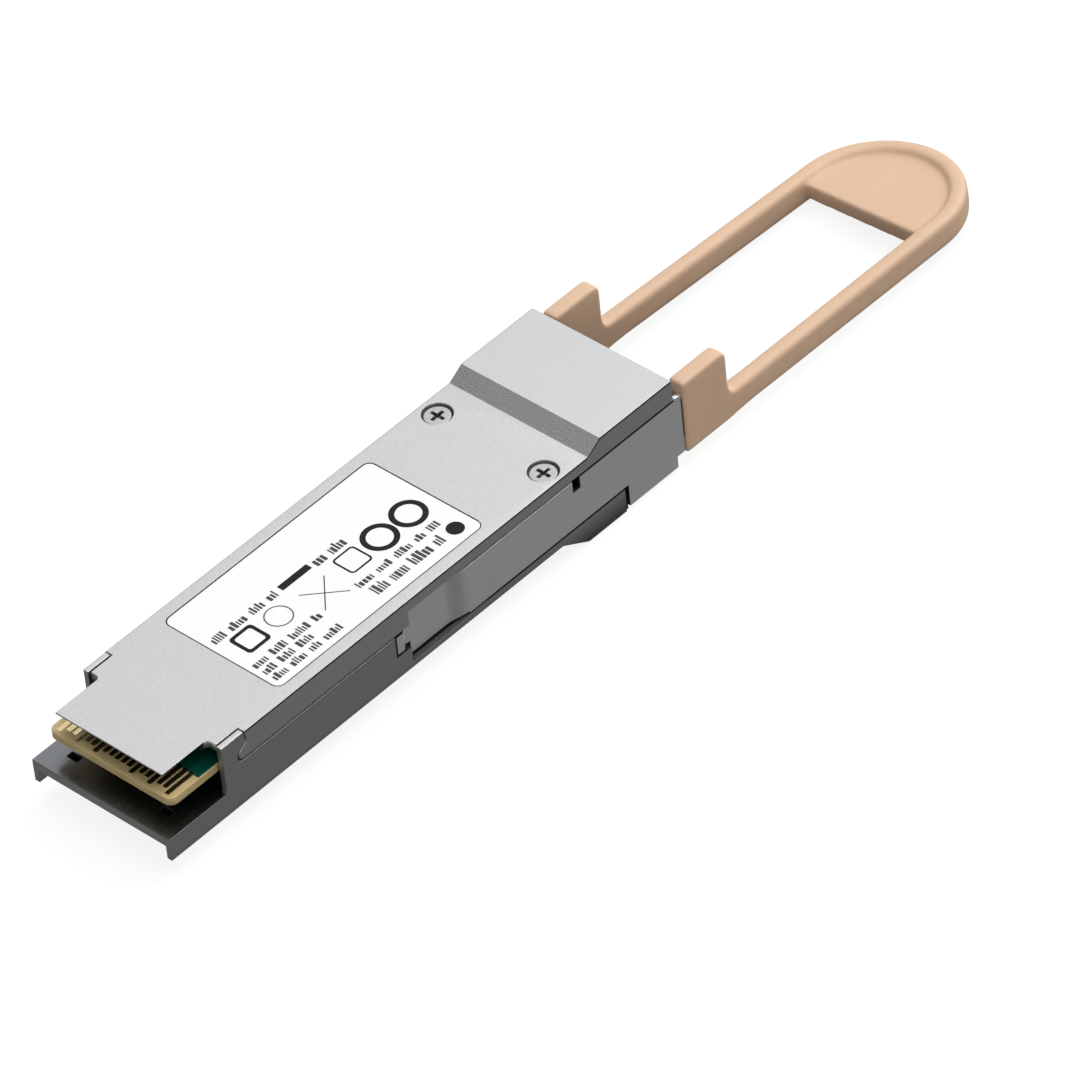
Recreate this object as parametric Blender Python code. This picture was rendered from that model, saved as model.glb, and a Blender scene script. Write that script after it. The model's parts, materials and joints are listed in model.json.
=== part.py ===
"""A pluggable optical transceiver module with a pull tab, as separate named pieces.

World frame: the origin is the middle of the flat heat-sink face, +X is the way the pull tab is
pulled, +Y is the module's left side and +Z is the label side. Stations along the module, such as
STEP_FOOT_X, are measured from the card-edge end of the base shell, which is REAR_TO_ORIGIN behind the
origin. Heights are measured from the heat-sink face.
"""

import math

import bmesh
import bpy
from mathutils import Vector

MM = 0.001

# Driving dimensions of the housing
BODY_HALF_WIDTH = 9.175 * MM
BODY_TOP = 8.5 * MM
HEAD_TOP = 9.7 * MM
HOUSING_LENGTH = 72.4 * MM
REAR_TO_ORIGIN = 32.0 * MM
WALL = 0.65 * MM
SEAM = 0.2 * MM
CLEARANCE = 0.3 * MM
PAST = 2.0 * MM  # how far a cutter runs past the face that it opens

# Base shell
RIB_END_X = 10.0 * MM
RIB_DEPTH = 1.6 * MM
FLOOR_TOP = 2.7 * MM
SHOULDER_X = 8.0 * MM
REAR_PARTING = 5.2 * MM
FRONT_PARTING = 7.1 * MM
NARROWS_X = 30.5 * MM
INNER_HALF_WIDTH = BODY_HALF_WIDTH - WALL
NARROW_HALF_WIDTH = 7.5 * MM
SLIDER_BED = 8.3 * MM
BASE_WALL_TOP = 6.8 * MM
SLIDER_SILL = 0.9 * MM
BULKHEAD_X = 12.2 * MM
BULKHEAD_THICKNESS = 0.8 * MM
BULKHEAD_TOP = 4.6 * MM
FLOOR_SLOT = ((2.35 * MM, 3.2 * MM), (5.4 * MM, 6.8 * MM))
FLOOR_SLOT_BOTTOM = 1.85 * MM

# Head
STEP_FOOT_X = 59.95 * MM
STEP_TOP_X = 61.86 * MM
HEAD_ROOM_X = 57.9 * MM
HEAD_FLOOR = -0.1 * MM
HEAD_CEILING = 9.0 * MM
HEAD_UNDERSIDE = -0.9 * MM
BUMP_DEPTH = 1.98 * MM
BUMP_RAMP_X = 55.47 * MM
BUMP_X = 59.1 * MM
BUMP_END_X = 64.66 * MM

# Cover shell
TONGUE_X = 2.1 * MM
TONGUE_HALF_WIDTH = 7.1 * MM
TONGUE_FILLET = 0.5 * MM
TONGUE_EDGE = 0.2 * MM
TONGUE_TAPER = 0.6 * MM
TONGUE_TAPER_END_X = 7.2 * MM
COVER_UNDERSIDE = 7.6 * MM
SKIRT_START_X = 11.0 * MM
SKIRT_STEP_X = 33.9 * MM
SKIRT_BEND_X = 0.2 * MM
SKIRT_BEND_Z = 7.15 * MM
SKIRT_LIP = 1.05 * MM
SKIRT_LIP_Z = 6.35 * MM
SKIRT_ROUND = 0.5 * MM

# Screws
SCREW_X = 55.85 * MM
SCREW_Y = 7.05 * MM
SCREW_HEAD_RADIUS = 1.4 * MM
SCREW_HEAD_TOP = 8.25 * MM
SCREW_HEAD_HEIGHT = 0.85 * MM
SCREW_RADIUS = 0.75 * MM
SCREW_TIP = 3.4 * MM
RECESS_LONG = 0.85 * MM
RECESS_SHORT = 0.18 * MM
RECESS_DEPTH = 0.55 * MM
COUNTERBORE_RADIUS = 1.65 * MM
COUNTERBORE_FLOOR = 7.2 * MM
COVER_BOSS_RADIUS = 1.95 * MM
COVER_BOSS_FOOT = 6.4 * MM
BASE_BOSS_RADIUS = 1.5 * MM
BASE_BOSS_TOP = 6.1 * MM

# Label
LABEL_X = (17.55 * MM, 46.55 * MM)
LABEL_HALF_WIDTH = 7.65 * MM
LABEL_THICKNESS = 0.1 * MM
LABEL_POCKET_DEPTH = 0.35 * MM
LABEL_MARGIN = 0.1 * MM
LABEL_CORNER = 0.8 * MM

# Delatch slider, which travels DELATCH_TRAVEL towards +X
DELATCH_TRAVEL = 2.3 * MM
SHEET = 0.5 * MM
SLIDER_BOTTOM = 1.1 * MM
SLIDER_TOP = 6.9 * MM
SLIDER_FRONT_X = 73.5 * MM
SLIDER_LIP_TOP = 7.1 * MM
SLIDER_LIP_BOTTOM = -0.3 * MM
BRIDGE_X = (65.2 * MM, 72.4 * MM)
BRIDGE_BOTTOM = -1.65 * MM
SLIDER_NOTCH_X = (57.55 * MM, 58.6 * MM)
SLIDER_NOTCH_BOTTOM = 5.55 * MM
NOTCH_WINDOW_X = (57.4 * MM, 59.4 * MM)
NOTCH_WINDOW_BOTTOM = 5.0 * MM
ARM_OUTER_X = 42.0 * MM
ARM_INNER_X = (34.15 * MM, 39.2 * MM)
ARM_INNER_BOTTOM = 1.3 * MM
ARM_JOG = 0.475 * MM
RELEASE_TAB_X = (32.0 * MM, 32.85 * MM)
RELEASE_BEND_END_X = 33.6 * MM
RELEASE_TAB_Z = (2.9 * MM, 5.1 * MM)
LATCH_POCKET_X = (33.85 * MM, ARM_OUTER_X + DELATCH_TRAVEL + 2 * CLEARANCE)
RELEASE_WINDOW_X = 31.8 * MM
RELEASE_WINDOW_BOTTOM = 2.65 * MM
LATCH_POCKET_BED = 7.9 * MM
PRONG_X = (72.7 * MM, 78.5 * MM)
PRONG_Y = (8.3 * MM, 8.7 * MM)
PRONG_Z = (1.6 * MM, 6.0 * MM)

# Return springs
SPRING_TAB_X = 46.6 * MM
SPRING_Y = 7.5 * MM
SPRING_Z = 2.9 * MM
SPRING_RADIUS = 0.68 * MM
SPRING_WIRE_RADIUS = 0.12 * MM
SPRING_COILS = 7
SPRING_SOLID_LENGTH = 3.9 * MM
SPRING_POCKET_X = (46.2 * MM, SPRING_TAB_X + SHEET + DELATCH_TRAVEL + SPRING_SOLID_LENGTH + 2 * CLEARANCE)
SPRING_POCKET_HALF = 0.95 * MM
SPRING_BLOCK_X = (45.5 * MM, 54.6 * MM)
SPRING_BLOCK_HALF_WIDTH = 6.1 * MM

# Pull tab
TAB_REAR_X = 73.75 * MM
EAR_FRONT_X = 80.3 * MM
EAR_TOP = 8.3 * MM
EAR_CORNER = 1.0 * MM
ARM_OUTER = 9.35 * MM
ARM_WIDTH = 1.9 * MM
ARM_BOTTOM = -0.71 * MM
ARM_HEIGHT = 3.2 * MM
TAB_EDGE_RADIUS = 0.6 * MM
TAB_FILLET = 1.5 * MM
TAB_END_CENTRE_X = 113.65 * MM
TAB_DROOP = 0.0257
TAB_TWIST = 1.9  # radians for each metre past the ears: the soft tab hangs a little askew
WEB_X = 111.1 * MM
WEB_THICKNESS = 1.9 * MM
PRONG_SLOT_GAP = 0.25 * MM

# Circuit board
BOARD_X = (1.72 * MM, 51.0 * MM)
BOARD_Z = (5.0 * MM, 6.0 * MM)
BOARD_HALF_WIDTH = 8.21 * MM
BOARD_NARROW_X = 30.0 * MM
BOARD_NARROW_HALF_WIDTH = 7.2 * MM
BOARD_CORNER = 0.9 * MM
BOARD_NOTCH_X = (14.0 * MM, 15.6 * MM)
BOARD_NOTCH_DEPTH = 0.8 * MM

# Optical port
PORT_CENTRE_Z = 4.5 * MM
PORT_HALF_WIDTH = 6.2 * MM
PORT_HALF_HEIGHT = 3.7 * MM
RECEPTACLE_X = (62.0 * MM, 72.2 * MM)
RECEPTACLE_HALF_WIDTH = 6.9 * MM
RECEPTACLE_HALF_HEIGHT = 4.05 * MM
RECEPTACLE_BACK = 0.9 * MM
FLANGE_DEPTH = 0.8 * MM
FLANGE_HALF_WIDTH = 7.25 * MM
FLANGE_HALF_HEIGHT = 4.3 * MM
KEYWAY_X = 65.0 * MM
KEYWAY_HALF_WIDTH = 1.25 * MM
KEYWAY_DEPTH = 0.2 * MM
HOOK_Y = (5.35 * MM, 5.95 * MM)
HOOK_HALF_HEIGHT = 0.9 * MM
HOOK_TIP_X = 69.6 * MM
HOOK_BARB = 0.45 * MM
HOOK_BARB_LENGTH = 0.8 * MM
CLIP_X = (61.0 * MM, 61.6 * MM)
CLIP_HALF_WIDTH = 6.3 * MM
CLIP_HALF_HEIGHT = 2.5 * MM
GASKET_X = (64.0 * MM, 65.5 * MM)
GASKET_HALF = (7.35 * MM, 4.45 * MM)
GASKET_BAND = 0.25 * MM

# Ferrule, its pins and the fibres
FERRULE_X = (56.0 * MM, 64.0 * MM)
FERRULE_HALF_WIDTH = 3.2 * MM
FERRULE_HALF_HEIGHT = 1.25 * MM
FERRULE_SHOULDER_X = 58.0 * MM
FERRULE_SHOULDER = 0.3 * MM
PIN_X = (54.6 * MM, 66.0 * MM)
PIN_Y = 2.3 * MM
PIN_RADIUS = 0.35 * MM
PIN_HOLE_RADIUS = 0.5 * MM
CLAMP_X = (54.2 * MM, 55.7 * MM)
CLAMP_HALF_WIDTH = 3.4 * MM
CLAMP_HALF_HEIGHT = 1.3 * MM
RIBBON_HALF_WIDTH = 1.55 * MM
RIBBON_THICKNESS = 0.3 * MM
RIBBON_X = (50.7 * MM, 58.4 * MM)
RIBBON_BEND_X = (51.3 * MM, 54.0 * MM)
RIBBON_START_Z = 6.85 * MM
RIBBON_SLOT_HALF_WIDTH = 1.85 * MM
RIBBON_SLOT_HALF_HEIGHT = 0.4 * MM

# Optical engine on the board: low and high corners along X, Y and Z
LENS_BLOCK = ((46.0, -2.8, 6.3), (50.4, 2.8, 7.3))
LENS_CAVITY = ((46.6, -2.4, 5.5), (49.6, 2.4, 6.8))

# Board pieces in millimetres: low corner, high corner, edge chamfer and colour
DARK_RESIN = (0.03, 0.03, 0.035, 1.0)
SILICON = (0.16, 0.17, 0.22, 1.0)
CERAMIC = (0.35, 0.22, 0.13, 1.0)
METAL_LID = (0.55, 0.55, 0.56, 1.0)
PAD_GREY = (0.42, 0.52, 0.62, 1.0)
BOARD_PIECES = {
    "laser_array": ((48.5, 0.5, 6.3), (48.9, 2.1, 6.5), 0.0, SILICON),
    "photodiode_array": ((48.5, -2.1, 6.3), (48.9, -0.5, 6.5), 0.0, SILICON),
    "laser_driver": ((46.9, 0.4, 6.3), (48.2, 2.2, 6.55), 0.0, SILICON),
    "receiver_amplifier": ((46.9, -2.2, 6.3), (48.2, -0.4, 6.55), 0.0, SILICON),
    "transmit_retimer": ((33.0, 0.6, 3.9), (39.0, 6.6, 4.7), 0.08, DARK_RESIN),
    "receive_retimer": ((33.0, -6.6, 3.9), (39.0, -0.6, 4.7), 0.08, DARK_RESIN),
    "microcontroller": ((20.0, -5.0, 6.3), (25.0, 0.0, 7.1), 0.08, DARK_RESIN),
    "reference_clock": ((27.0, 2.0, 6.3), (29.5, 4.0, 7.0), 0.06, METAL_LID),
    "power_inductor": ((20.0, 2.0, 6.3), (23.2, 5.2, 7.3), 0.12, DARK_RESIN),
    "thermal_pad_retimers": ((33.0, -6.6, 3.0), (39.0, 6.6, 3.6), 0.0, PAD_GREY),
    "thermal_pad_optics": ((45.8, -3.6, 3.0), (50.4, 3.6, 4.7), 0.0, PAD_GREY),
}
CAPACITOR_COUNT = 4
CAPACITOR_SIZE = (1.6, 0.8, 0.8)
CAPACITOR_START = (27.0, -5.2, 6.3)
CAPACITOR_PITCH = 1.6
CAPACITOR_CHAMFER = 0.05

# Colours
CAST_METAL = (0.72, 0.72, 0.72, 1.0)
SHEET_METAL = (0.50, 0.50, 0.50, 1.0)
STEEL = (0.78, 0.77, 0.74, 1.0)
SPRING_STEEL = (0.60, 0.60, 0.62, 1.0)
TAB_BEIGE = (0.80, 0.58, 0.42, 1.0)
LABEL_WHITE = (0.93, 0.93, 0.93, 1.0)
BOARD_GREEN = (0.02, 0.22, 0.13, 1.0)
PORT_BLACK = (0.04, 0.04, 0.04, 1.0)
FERRULE_GREY = (0.12, 0.12, 0.13, 1.0)
RIBBON_AQUA = (0.16, 0.62, 0.66, 1.0)
LENS_AMBER = (0.72, 0.46, 0.16, 1.0)
GASKET_GREY = (0.22, 0.22, 0.23, 1.0)

CIRCLE_SIDES = 24


# Meshes

def mesh_from(vertices, faces):
    """A mesh whose faces are turned to point out of the solid."""
    shape = bmesh.new()
    made = [shape.verts.new(vertex) for vertex in vertices]
    for face in faces:
        shape.faces.new([made[index] for index in face])
    bmesh.ops.recalc_face_normals(shape, faces=shape.faces)
    mesh = bpy.data.meshes.new("solid")
    shape.to_mesh(mesh)
    shape.free()
    return mesh


def prism(outline, axis, low, high):
    """An outline across an axis, extruded along it. X takes (y, z), Y takes (x, z), Z takes (x, y)."""
    place = {
        "X": lambda a, b, along: (along, a, b),
        "Y": lambda a, b, along: (a, along, b),
        "Z": lambda a, b, along: (a, b, along),
    }[axis]
    count = len(outline)
    vertices = [place(a, b, along) for along in (low, high) for a, b in outline]
    faces = [tuple(range(count)), tuple(range(2 * count - 1, count - 1, -1))]
    faces += [(i, (i + 1) % count, (i + 1) % count + count, i + count) for i in range(count)]
    return mesh_from(vertices, faces)


def block(low, high):
    """A box between two corners."""
    outline = [(low[0], low[1]), (high[0], low[1]), (high[0], high[1]), (low[0], high[1])]
    return prism(outline, "Z", low[2], high[2])


def centred_block(x_range, half_width, z_range):
    """A box that is symmetric about the module's middle plane."""
    return block((x_range[0], -half_width, z_range[0]), (x_range[1], half_width, z_range[1]))


def cylinder(centre, axis, low, high, radius):
    """A round bar along X or Z, through a centre given across its axis."""
    outline = []
    for step in range(CIRCLE_SIDES):
        angle = math.tau * step / CIRCLE_SIDES
        outline.append((centre[0] + radius * math.cos(angle), centre[1] + radius * math.sin(angle)))
    return prism(outline, axis, low, high)


def rounded(corners, steps=4):
    """An outline from corners (a, b, radius), each with a radius turned into an arc."""
    outline = []
    count = len(corners)
    for index, (a, b, radius) in enumerate(corners):
        corner = Vector((a, b))
        if not radius:
            outline.append(tuple(corner))
            continue
        before = (Vector(corners[index - 1][:2]) - corner).normalized()
        after = (Vector(corners[(index + 1) % count][:2]) - corner).normalized()
        half_angle = before.angle(after) / 2
        reach = radius / math.tan(half_angle)
        centre = corner + (before + after).normalized() * radius / math.sin(half_angle)
        start = corner + before * reach - centre
        end = corner + after * reach - centre
        for step in range(steps + 1):
            outline.append(tuple(centre + arc_point(start, end, step / steps)))
    return outline


def arc_point(start, end, share):
    """A point part of the way round the short arc between two radii."""
    angle = start.angle_signed(end) * share
    turned = (
        start.x * math.cos(angle) + start.y * math.sin(angle),
        start.y * math.cos(angle) - start.x * math.sin(angle),
    )
    return Vector(turned)


def sweep(path, section, up):
    """A section of (outward, up) points carried along a path and capped at both ends."""
    vertices = []
    for index, point in enumerate(path):
        ahead = Vector(path[min(index + 1, len(path) - 1)])
        behind = Vector(path[max(index - 1, 0)])
        outward = (ahead - behind).cross(up).normalized()
        vertices += [Vector(point) + outward * out + up * rise for out, rise in section]
    sides = len(section)
    faces = [tuple(range(sides)), tuple(range(len(vertices) - sides, len(vertices)))]
    for row in range(len(path) - 1):
        for side in range(sides):
            near, far = row * sides + side, row * sides + (side + 1) % sides
            faces.append((near, far, far + sides, near + sides))
    return mesh_from(vertices, faces)


# Objects

def material_of(name, colour, roughness, metallic):
    """A Principled material."""
    material = bpy.data.materials.new(name)
    material.use_nodes = True
    shader = material.node_tree.nodes["Principled BSDF"]
    shader.inputs["Base Color"].default_value = colour
    shader.inputs["Roughness"].default_value = roughness
    shader.inputs["Metallic"].default_value = metallic
    material.diffuse_color = colour
    return material


def add_object(name, mesh, parent):
    """An object in the scene, under its parent."""
    thing = bpy.data.objects.new(name, mesh)
    bpy.context.scene.collection.objects.link(thing)
    thing.parent = parent
    return thing


def shape_with(thing, joined=(), cut=()):
    """Joins meshes to an object and then cuts meshes from it. Later calls work on that result."""
    for operation, meshes in (("UNION", joined), ("DIFFERENCE", cut)):
        for mesh in meshes:
            tool = add_object(f"{thing.name}_tool_{len(thing.modifiers)}", mesh, thing.parent)
            tool.hide_render = True
            tool.display_type = "WIRE"
            change = thing.modifiers.new(tool.name, "BOOLEAN")
            change.operation = operation
            change.solver = "EXACT"
            change.object = tool


def piece(name, mesh, parent, look, joined=(), cut=(), chamfer=0.0, smooth=False):
    """A named piece: a mesh, the meshes joined to it and then the meshes cut from it."""
    thing = add_object(name, mesh, parent)
    colour, roughness, metallic = look
    mesh.materials.append(material_of(name, colour, roughness, metallic))
    shape_with(thing, joined, cut)
    if chamfer:
        bevel = thing.modifiers.new("chamfer", "BEVEL")
        bevel.width = chamfer
        bevel.segments = 1
    if smooth:
        mesh.shade_smooth()
        mesh.set_sharp_from_angle(angle=math.radians(35))
    return thing


def both_sides(make):
    """The same mesh made for the left and the right side."""
    return [make(1), make(-1)]


def side_block(x_range, y_range, z_range, side):
    """A box on one side of the module, its Y range given from the middle outwards."""
    near, far = sorted((y_range[0] * side, y_range[1] * side))
    return block((x_range[0], near, z_range[0]), (x_range[1], far, z_range[1]))


# Housing

def seam_curve(gap):
    """The S-shaped seam at the rear of a side, from the top down, moved forward by a gap."""
    start = SKIRT_START_X + gap
    return [
        (start, BODY_TOP, 0),
        (start + SKIRT_BEND_X, SKIRT_BEND_Z, SKIRT_ROUND),
        (start - SKIRT_LIP, SKIRT_LIP_Z, SKIRT_ROUND),
        (start - SKIRT_LIP, REAR_PARTING + gap, SKIRT_ROUND),
    ]


def base_shell(parent):
    """The lower housing: floor, side ribs, walls, latch pockets, spring pockets and bump."""
    side_profile = rounded([
        (0, 0, 0),
        (BUMP_RAMP_X, 0, 0),
        (BUMP_X, -BUMP_DEPTH, 0),
        (BUMP_END_X, -BUMP_DEPTH, 0),
        (BUMP_END_X, HEAD_UNDERSIDE, 0),
        (HOUSING_LENGTH, HEAD_UNDERSIDE, 0),
        (HOUSING_LENGTH, BASE_WALL_TOP, 0),
        (SKIRT_STEP_X + SEAM, BASE_WALL_TOP, 0),
        (SKIRT_STEP_X + SEAM, REAR_PARTING, 0),
        *reversed(seam_curve(0)),
        (SHOULDER_X, BODY_TOP, 0),
        (SHOULDER_X, FLOOR_TOP, 0),
        (0, FLOOR_TOP, 0),
    ])
    high = HEAD_TOP + PAST
    past_front = HOUSING_LENGTH + PAST
    outside = BODY_HALF_WIDTH + PAST
    joined = [
        centred_block(
            (BULKHEAD_X, BULKHEAD_X + BULKHEAD_THICKNESS),
            INNER_HALF_WIDTH + WALL / 2,
            (FLOOR_TOP - WALL, BULKHEAD_TOP),
        ),
    ]
    joined += both_sides(lambda side: side_block(
        SPRING_BLOCK_X, (SPRING_BLOCK_HALF_WIDTH, NARROW_HALF_WIDTH + WALL / 2),
        (FLOOR_TOP - WALL, BULKHEAD_TOP), side))
    joined += both_sides(lambda side: cylinder(
        (SCREW_X, SCREW_Y * side), "Z", FLOOR_TOP - WALL, BASE_BOSS_TOP, BASE_BOSS_RADIUS))
    hollow = [
        centred_block((-PAST, RIB_END_X), INNER_HALF_WIDTH, (-PAST, RIB_DEPTH)),
        centred_block((SHOULDER_X - PAST, NARROWS_X), INNER_HALF_WIDTH, (FLOOR_TOP, high)),
        centred_block((NARROWS_X - WALL, past_front), NARROW_HALF_WIDTH, (FLOOR_TOP, high)),
        centred_block((HEAD_ROOM_X, past_front), NARROW_HALF_WIDTH, (HEAD_FLOOR, high)),
    ]
    cut = both_sides(lambda side: side_block(
        (SKIRT_STEP_X + SEAM, past_front), (SLIDER_BED, outside), (SLIDER_SILL, high), side))
    cut += both_sides(lambda side: side_block(
        LATCH_POCKET_X, (LATCH_POCKET_BED, outside), (SLIDER_SILL, high), side))
    cut += both_sides(lambda side: side_block(
        (RELEASE_WINDOW_X, LATCH_POCKET_X[0] + CLEARANCE), (LATCH_POCKET_BED, outside),
        (RELEASE_WINDOW_BOTTOM, REAR_PARTING + PAST), side))
    cut += both_sides(lambda side: side_block(
        (BUMP_END_X, past_front), (SLIDER_BED, outside), (-BUMP_DEPTH - PAST, high), side))
    cut += both_sides(lambda side: side_block(
        SPRING_POCKET_X, (SPRING_Y - SPRING_POCKET_HALF, outside),
        (SPRING_Z - SPRING_POCKET_HALF, SPRING_Z + SPRING_POCKET_HALF), side))
    cut += both_sides(lambda side: side_block(
        NOTCH_WINDOW_X, (NARROW_HALF_WIDTH - WALL, outside), (NOTCH_WINDOW_BOTTOM, high), side))
    cut += both_sides(lambda side: side_block(*FLOOR_SLOT, (FLOOR_SLOT_BOTTOM, FLOOR_TOP + PAST), side))
    cut += both_sides(lambda side: cylinder(
        (SCREW_X, SCREW_Y * side), "Z", SCREW_TIP - CLEARANCE, high, SCREW_RADIUS + SEAM))
    cut += both_sides(lambda side: cylinder(
        (SCREW_X, SCREW_Y * side), "Z", BASE_BOSS_TOP, high, COVER_BOSS_RADIUS + CLEARANCE))
    shell = prism(side_profile, "Y", -BODY_HALF_WIDTH, BODY_HALF_WIDTH)
    hollowed = piece("base_shell", shell, parent, (CAST_METAL, 0.45, 1.0), cut=hollow)
    shape_with(hollowed, joined, cut)


def taper_outline(edge, inward):
    """The triangle cut from under the tongue at an edge, in (distance across the edge, z)."""
    edge_bottom = BODY_TOP - TONGUE_EDGE
    slope = (edge_bottom - COVER_UNDERSIDE) / TONGUE_TAPER
    over = TONGUE_EDGE / 2
    outer = edge - inward * over
    return [
        (outer, edge_bottom + slope * over),
        (edge + inward * (TONGUE_TAPER + over), COVER_UNDERSIDE - slope * over),
        (outer, COVER_UNDERSIDE - slope * over),
    ]


def cover_shell(parent):
    """The upper housing: tongue over the card edge, skirts, step, head and screw bosses."""
    side_profile = rounded([
        (STEP_FOOT_X, BODY_TOP, 0),
        (STEP_TOP_X, HEAD_TOP, 0),
        (HOUSING_LENGTH, HEAD_TOP, 0),
        (HOUSING_LENGTH, FRONT_PARTING, 0),
        (SKIRT_STEP_X, FRONT_PARTING, 0),
        (SKIRT_STEP_X, REAR_PARTING + SEAM, 0),
        *reversed(seam_curve(SEAM)),
    ])
    plate_z = (COVER_UNDERSIDE, BODY_TOP)
    root_half_width = INNER_HALF_WIDTH - SEAM
    tongue_side = [
        (TONGUE_X, TONGUE_HALF_WIDTH, 0),
        (SHOULDER_X + SEAM, TONGUE_HALF_WIDTH, TONGUE_FILLET),
        (SHOULDER_X + SEAM, root_half_width, 0),
        (SKIRT_START_X + PAST, root_half_width, 0),
    ]
    tongue = tongue_side + [(x, -y, radius) for x, y, radius in reversed(tongue_side)]
    joined = [prism(rounded(tongue), "Z", *plate_z)]
    low = REAR_PARTING - PAST
    past_front = HOUSING_LENGTH + PAST
    hollow = [
        centred_block((SHOULDER_X, HEAD_ROOM_X), INNER_HALF_WIDTH, (low, COVER_UNDERSIDE)),
        centred_block((HEAD_ROOM_X - WALL, past_front), NARROW_HALF_WIDTH, (low, COVER_UNDERSIDE)),
        centred_block((STEP_TOP_X - WALL, past_front), NARROW_HALF_WIDTH, (low, HEAD_CEILING)),
    ]
    bosses = both_sides(lambda side: cylinder(
        (SCREW_X, SCREW_Y * side), "Z", COVER_BOSS_FOOT, BODY_TOP - WALL / 2, COVER_BOSS_RADIUS))
    cut = both_sides(lambda side: side_block(
        (SKIRT_STEP_X + PAST, STEP_TOP_X), (SLIDER_BED, BODY_HALF_WIDTH + PAST),
        (low, FRONT_PARTING), side))
    cut += both_sides(lambda side: cylinder(
        (SCREW_X, SCREW_Y * side), "Z", COUNTERBORE_FLOOR, BODY_TOP + PAST, COUNTERBORE_RADIUS))
    cut += both_sides(lambda side: cylinder(
        (SCREW_X, SCREW_Y * side), "Z", COVER_BOSS_FOOT - PAST, BODY_TOP, SCREW_RADIUS + SEAM))
    cut.append(label_prism(LABEL_MARGIN, BODY_TOP - LABEL_POCKET_DEPTH, BODY_TOP + PAST))
    cut.append(prism(taper_outline(TONGUE_X, 1), "Y", -root_half_width, root_half_width))
    cut += both_sides(lambda side: prism(
        taper_outline(TONGUE_HALF_WIDTH * side, -side), "X", TONGUE_X - PAST, TONGUE_TAPER_END_X))
    shell = prism(side_profile, "Y", -BODY_HALF_WIDTH, BODY_HALF_WIDTH)
    look = (CAST_METAL, 0.45, 1.0)
    hollowed = piece("cover_shell", shell, parent, look, joined=joined, cut=hollow)
    shape_with(hollowed, bosses, cut)


def label_prism(margin, low, high):
    """The label's rounded outline, grown by a margin."""
    left, right = LABEL_X[0] - margin, LABEL_X[1] + margin
    half = LABEL_HALF_WIDTH + margin
    corners = [(left, -half), (right, -half), (right, half), (left, half)]
    return prism(rounded([(x, y, LABEL_CORNER + margin) for x, y in corners]), "Z", low, high)


def rating_label(parent):
    """The printed label in its shallow pocket."""
    mesh = label_prism(0, BODY_TOP - LABEL_THICKNESS, BODY_TOP)
    piece("rating_label", mesh, parent, (LABEL_WHITE, 0.4, 0.0))


def cover_screw(name, side, parent):
    """A cross-head screw through the cover's counterbore into the base's boss."""
    centre = (SCREW_X, SCREW_Y * side)
    under_head = SCREW_HEAD_TOP - SCREW_HEAD_HEIGHT
    head = cylinder(centre, "Z", under_head, SCREW_HEAD_TOP, SCREW_HEAD_RADIUS)
    shank = cylinder(centre, "Z", SCREW_TIP, under_head + SCREW_HEAD_HEIGHT / 2, SCREW_RADIUS)
    recess = [
        block(
            (centre[0] - reach_x, centre[1] - reach_y, SCREW_HEAD_TOP - RECESS_DEPTH),
            (centre[0] + reach_x, centre[1] + reach_y, SCREW_HEAD_TOP + PAST),
        )
        for reach_x, reach_y in ((RECESS_LONG, RECESS_SHORT), (RECESS_SHORT, RECESS_LONG))
    ]
    look = (STEEL, 0.25, 1.0)
    piece(name, head, parent, look, joined=[shank], cut=recess, smooth=True)


# Delatch slider and its springs

def bend(start, end, steps=8):
    """Stations of a smooth S-bend that runs out from the jog to the flush position."""
    stations = []
    for step in range(steps + 1):
        share = step / steps
        stations.append((start + (end - start) * share, ARM_JOG * (1 + math.cos(math.pi * share)) / 2))
    return stations


def arm_strip(stations, low, high, side):
    """A strip of sheet metal that follows (x, inward jog) stations, seen from above."""
    outer = [(x, (BODY_HALF_WIDTH - jog) * side) for x, jog in stations]
    inner = [(x, (BODY_HALF_WIDTH - SHEET - jog) * side) for x, jog in stations]
    return prism(outer + inner[::-1], "Z", low, high)


def slider_side_plate(side):
    """A side of the slider, flush with the housing, with its deep part under the head."""
    near, far = sorted(((BODY_HALF_WIDTH - SHEET) * side, BODY_HALF_WIDTH * side))
    outline = [
        (ARM_OUTER_X, SLIDER_BOTTOM),
        (BRIDGE_X[0], SLIDER_BOTTOM),
        (BRIDGE_X[0], BRIDGE_BOTTOM),
        (BRIDGE_X[1], BRIDGE_BOTTOM),
        (BRIDGE_X[1], SLIDER_LIP_BOTTOM),
        (SLIDER_FRONT_X, SLIDER_LIP_BOTTOM),
        (SLIDER_FRONT_X, SLIDER_LIP_TOP),
        (HOUSING_LENGTH + CLEARANCE, SLIDER_LIP_TOP),
        (HOUSING_LENGTH + CLEARANCE, SLIDER_TOP),
        (SLIDER_NOTCH_X[1], SLIDER_TOP),
        (SLIDER_NOTCH_X[1], SLIDER_NOTCH_BOTTOM),
        (SLIDER_NOTCH_X[0], SLIDER_NOTCH_BOTTOM),
        (SLIDER_NOTCH_X[0], SLIDER_TOP),
        (ARM_OUTER_X, SLIDER_TOP),
    ]
    return prism(outline, "Y", near, far)


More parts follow.
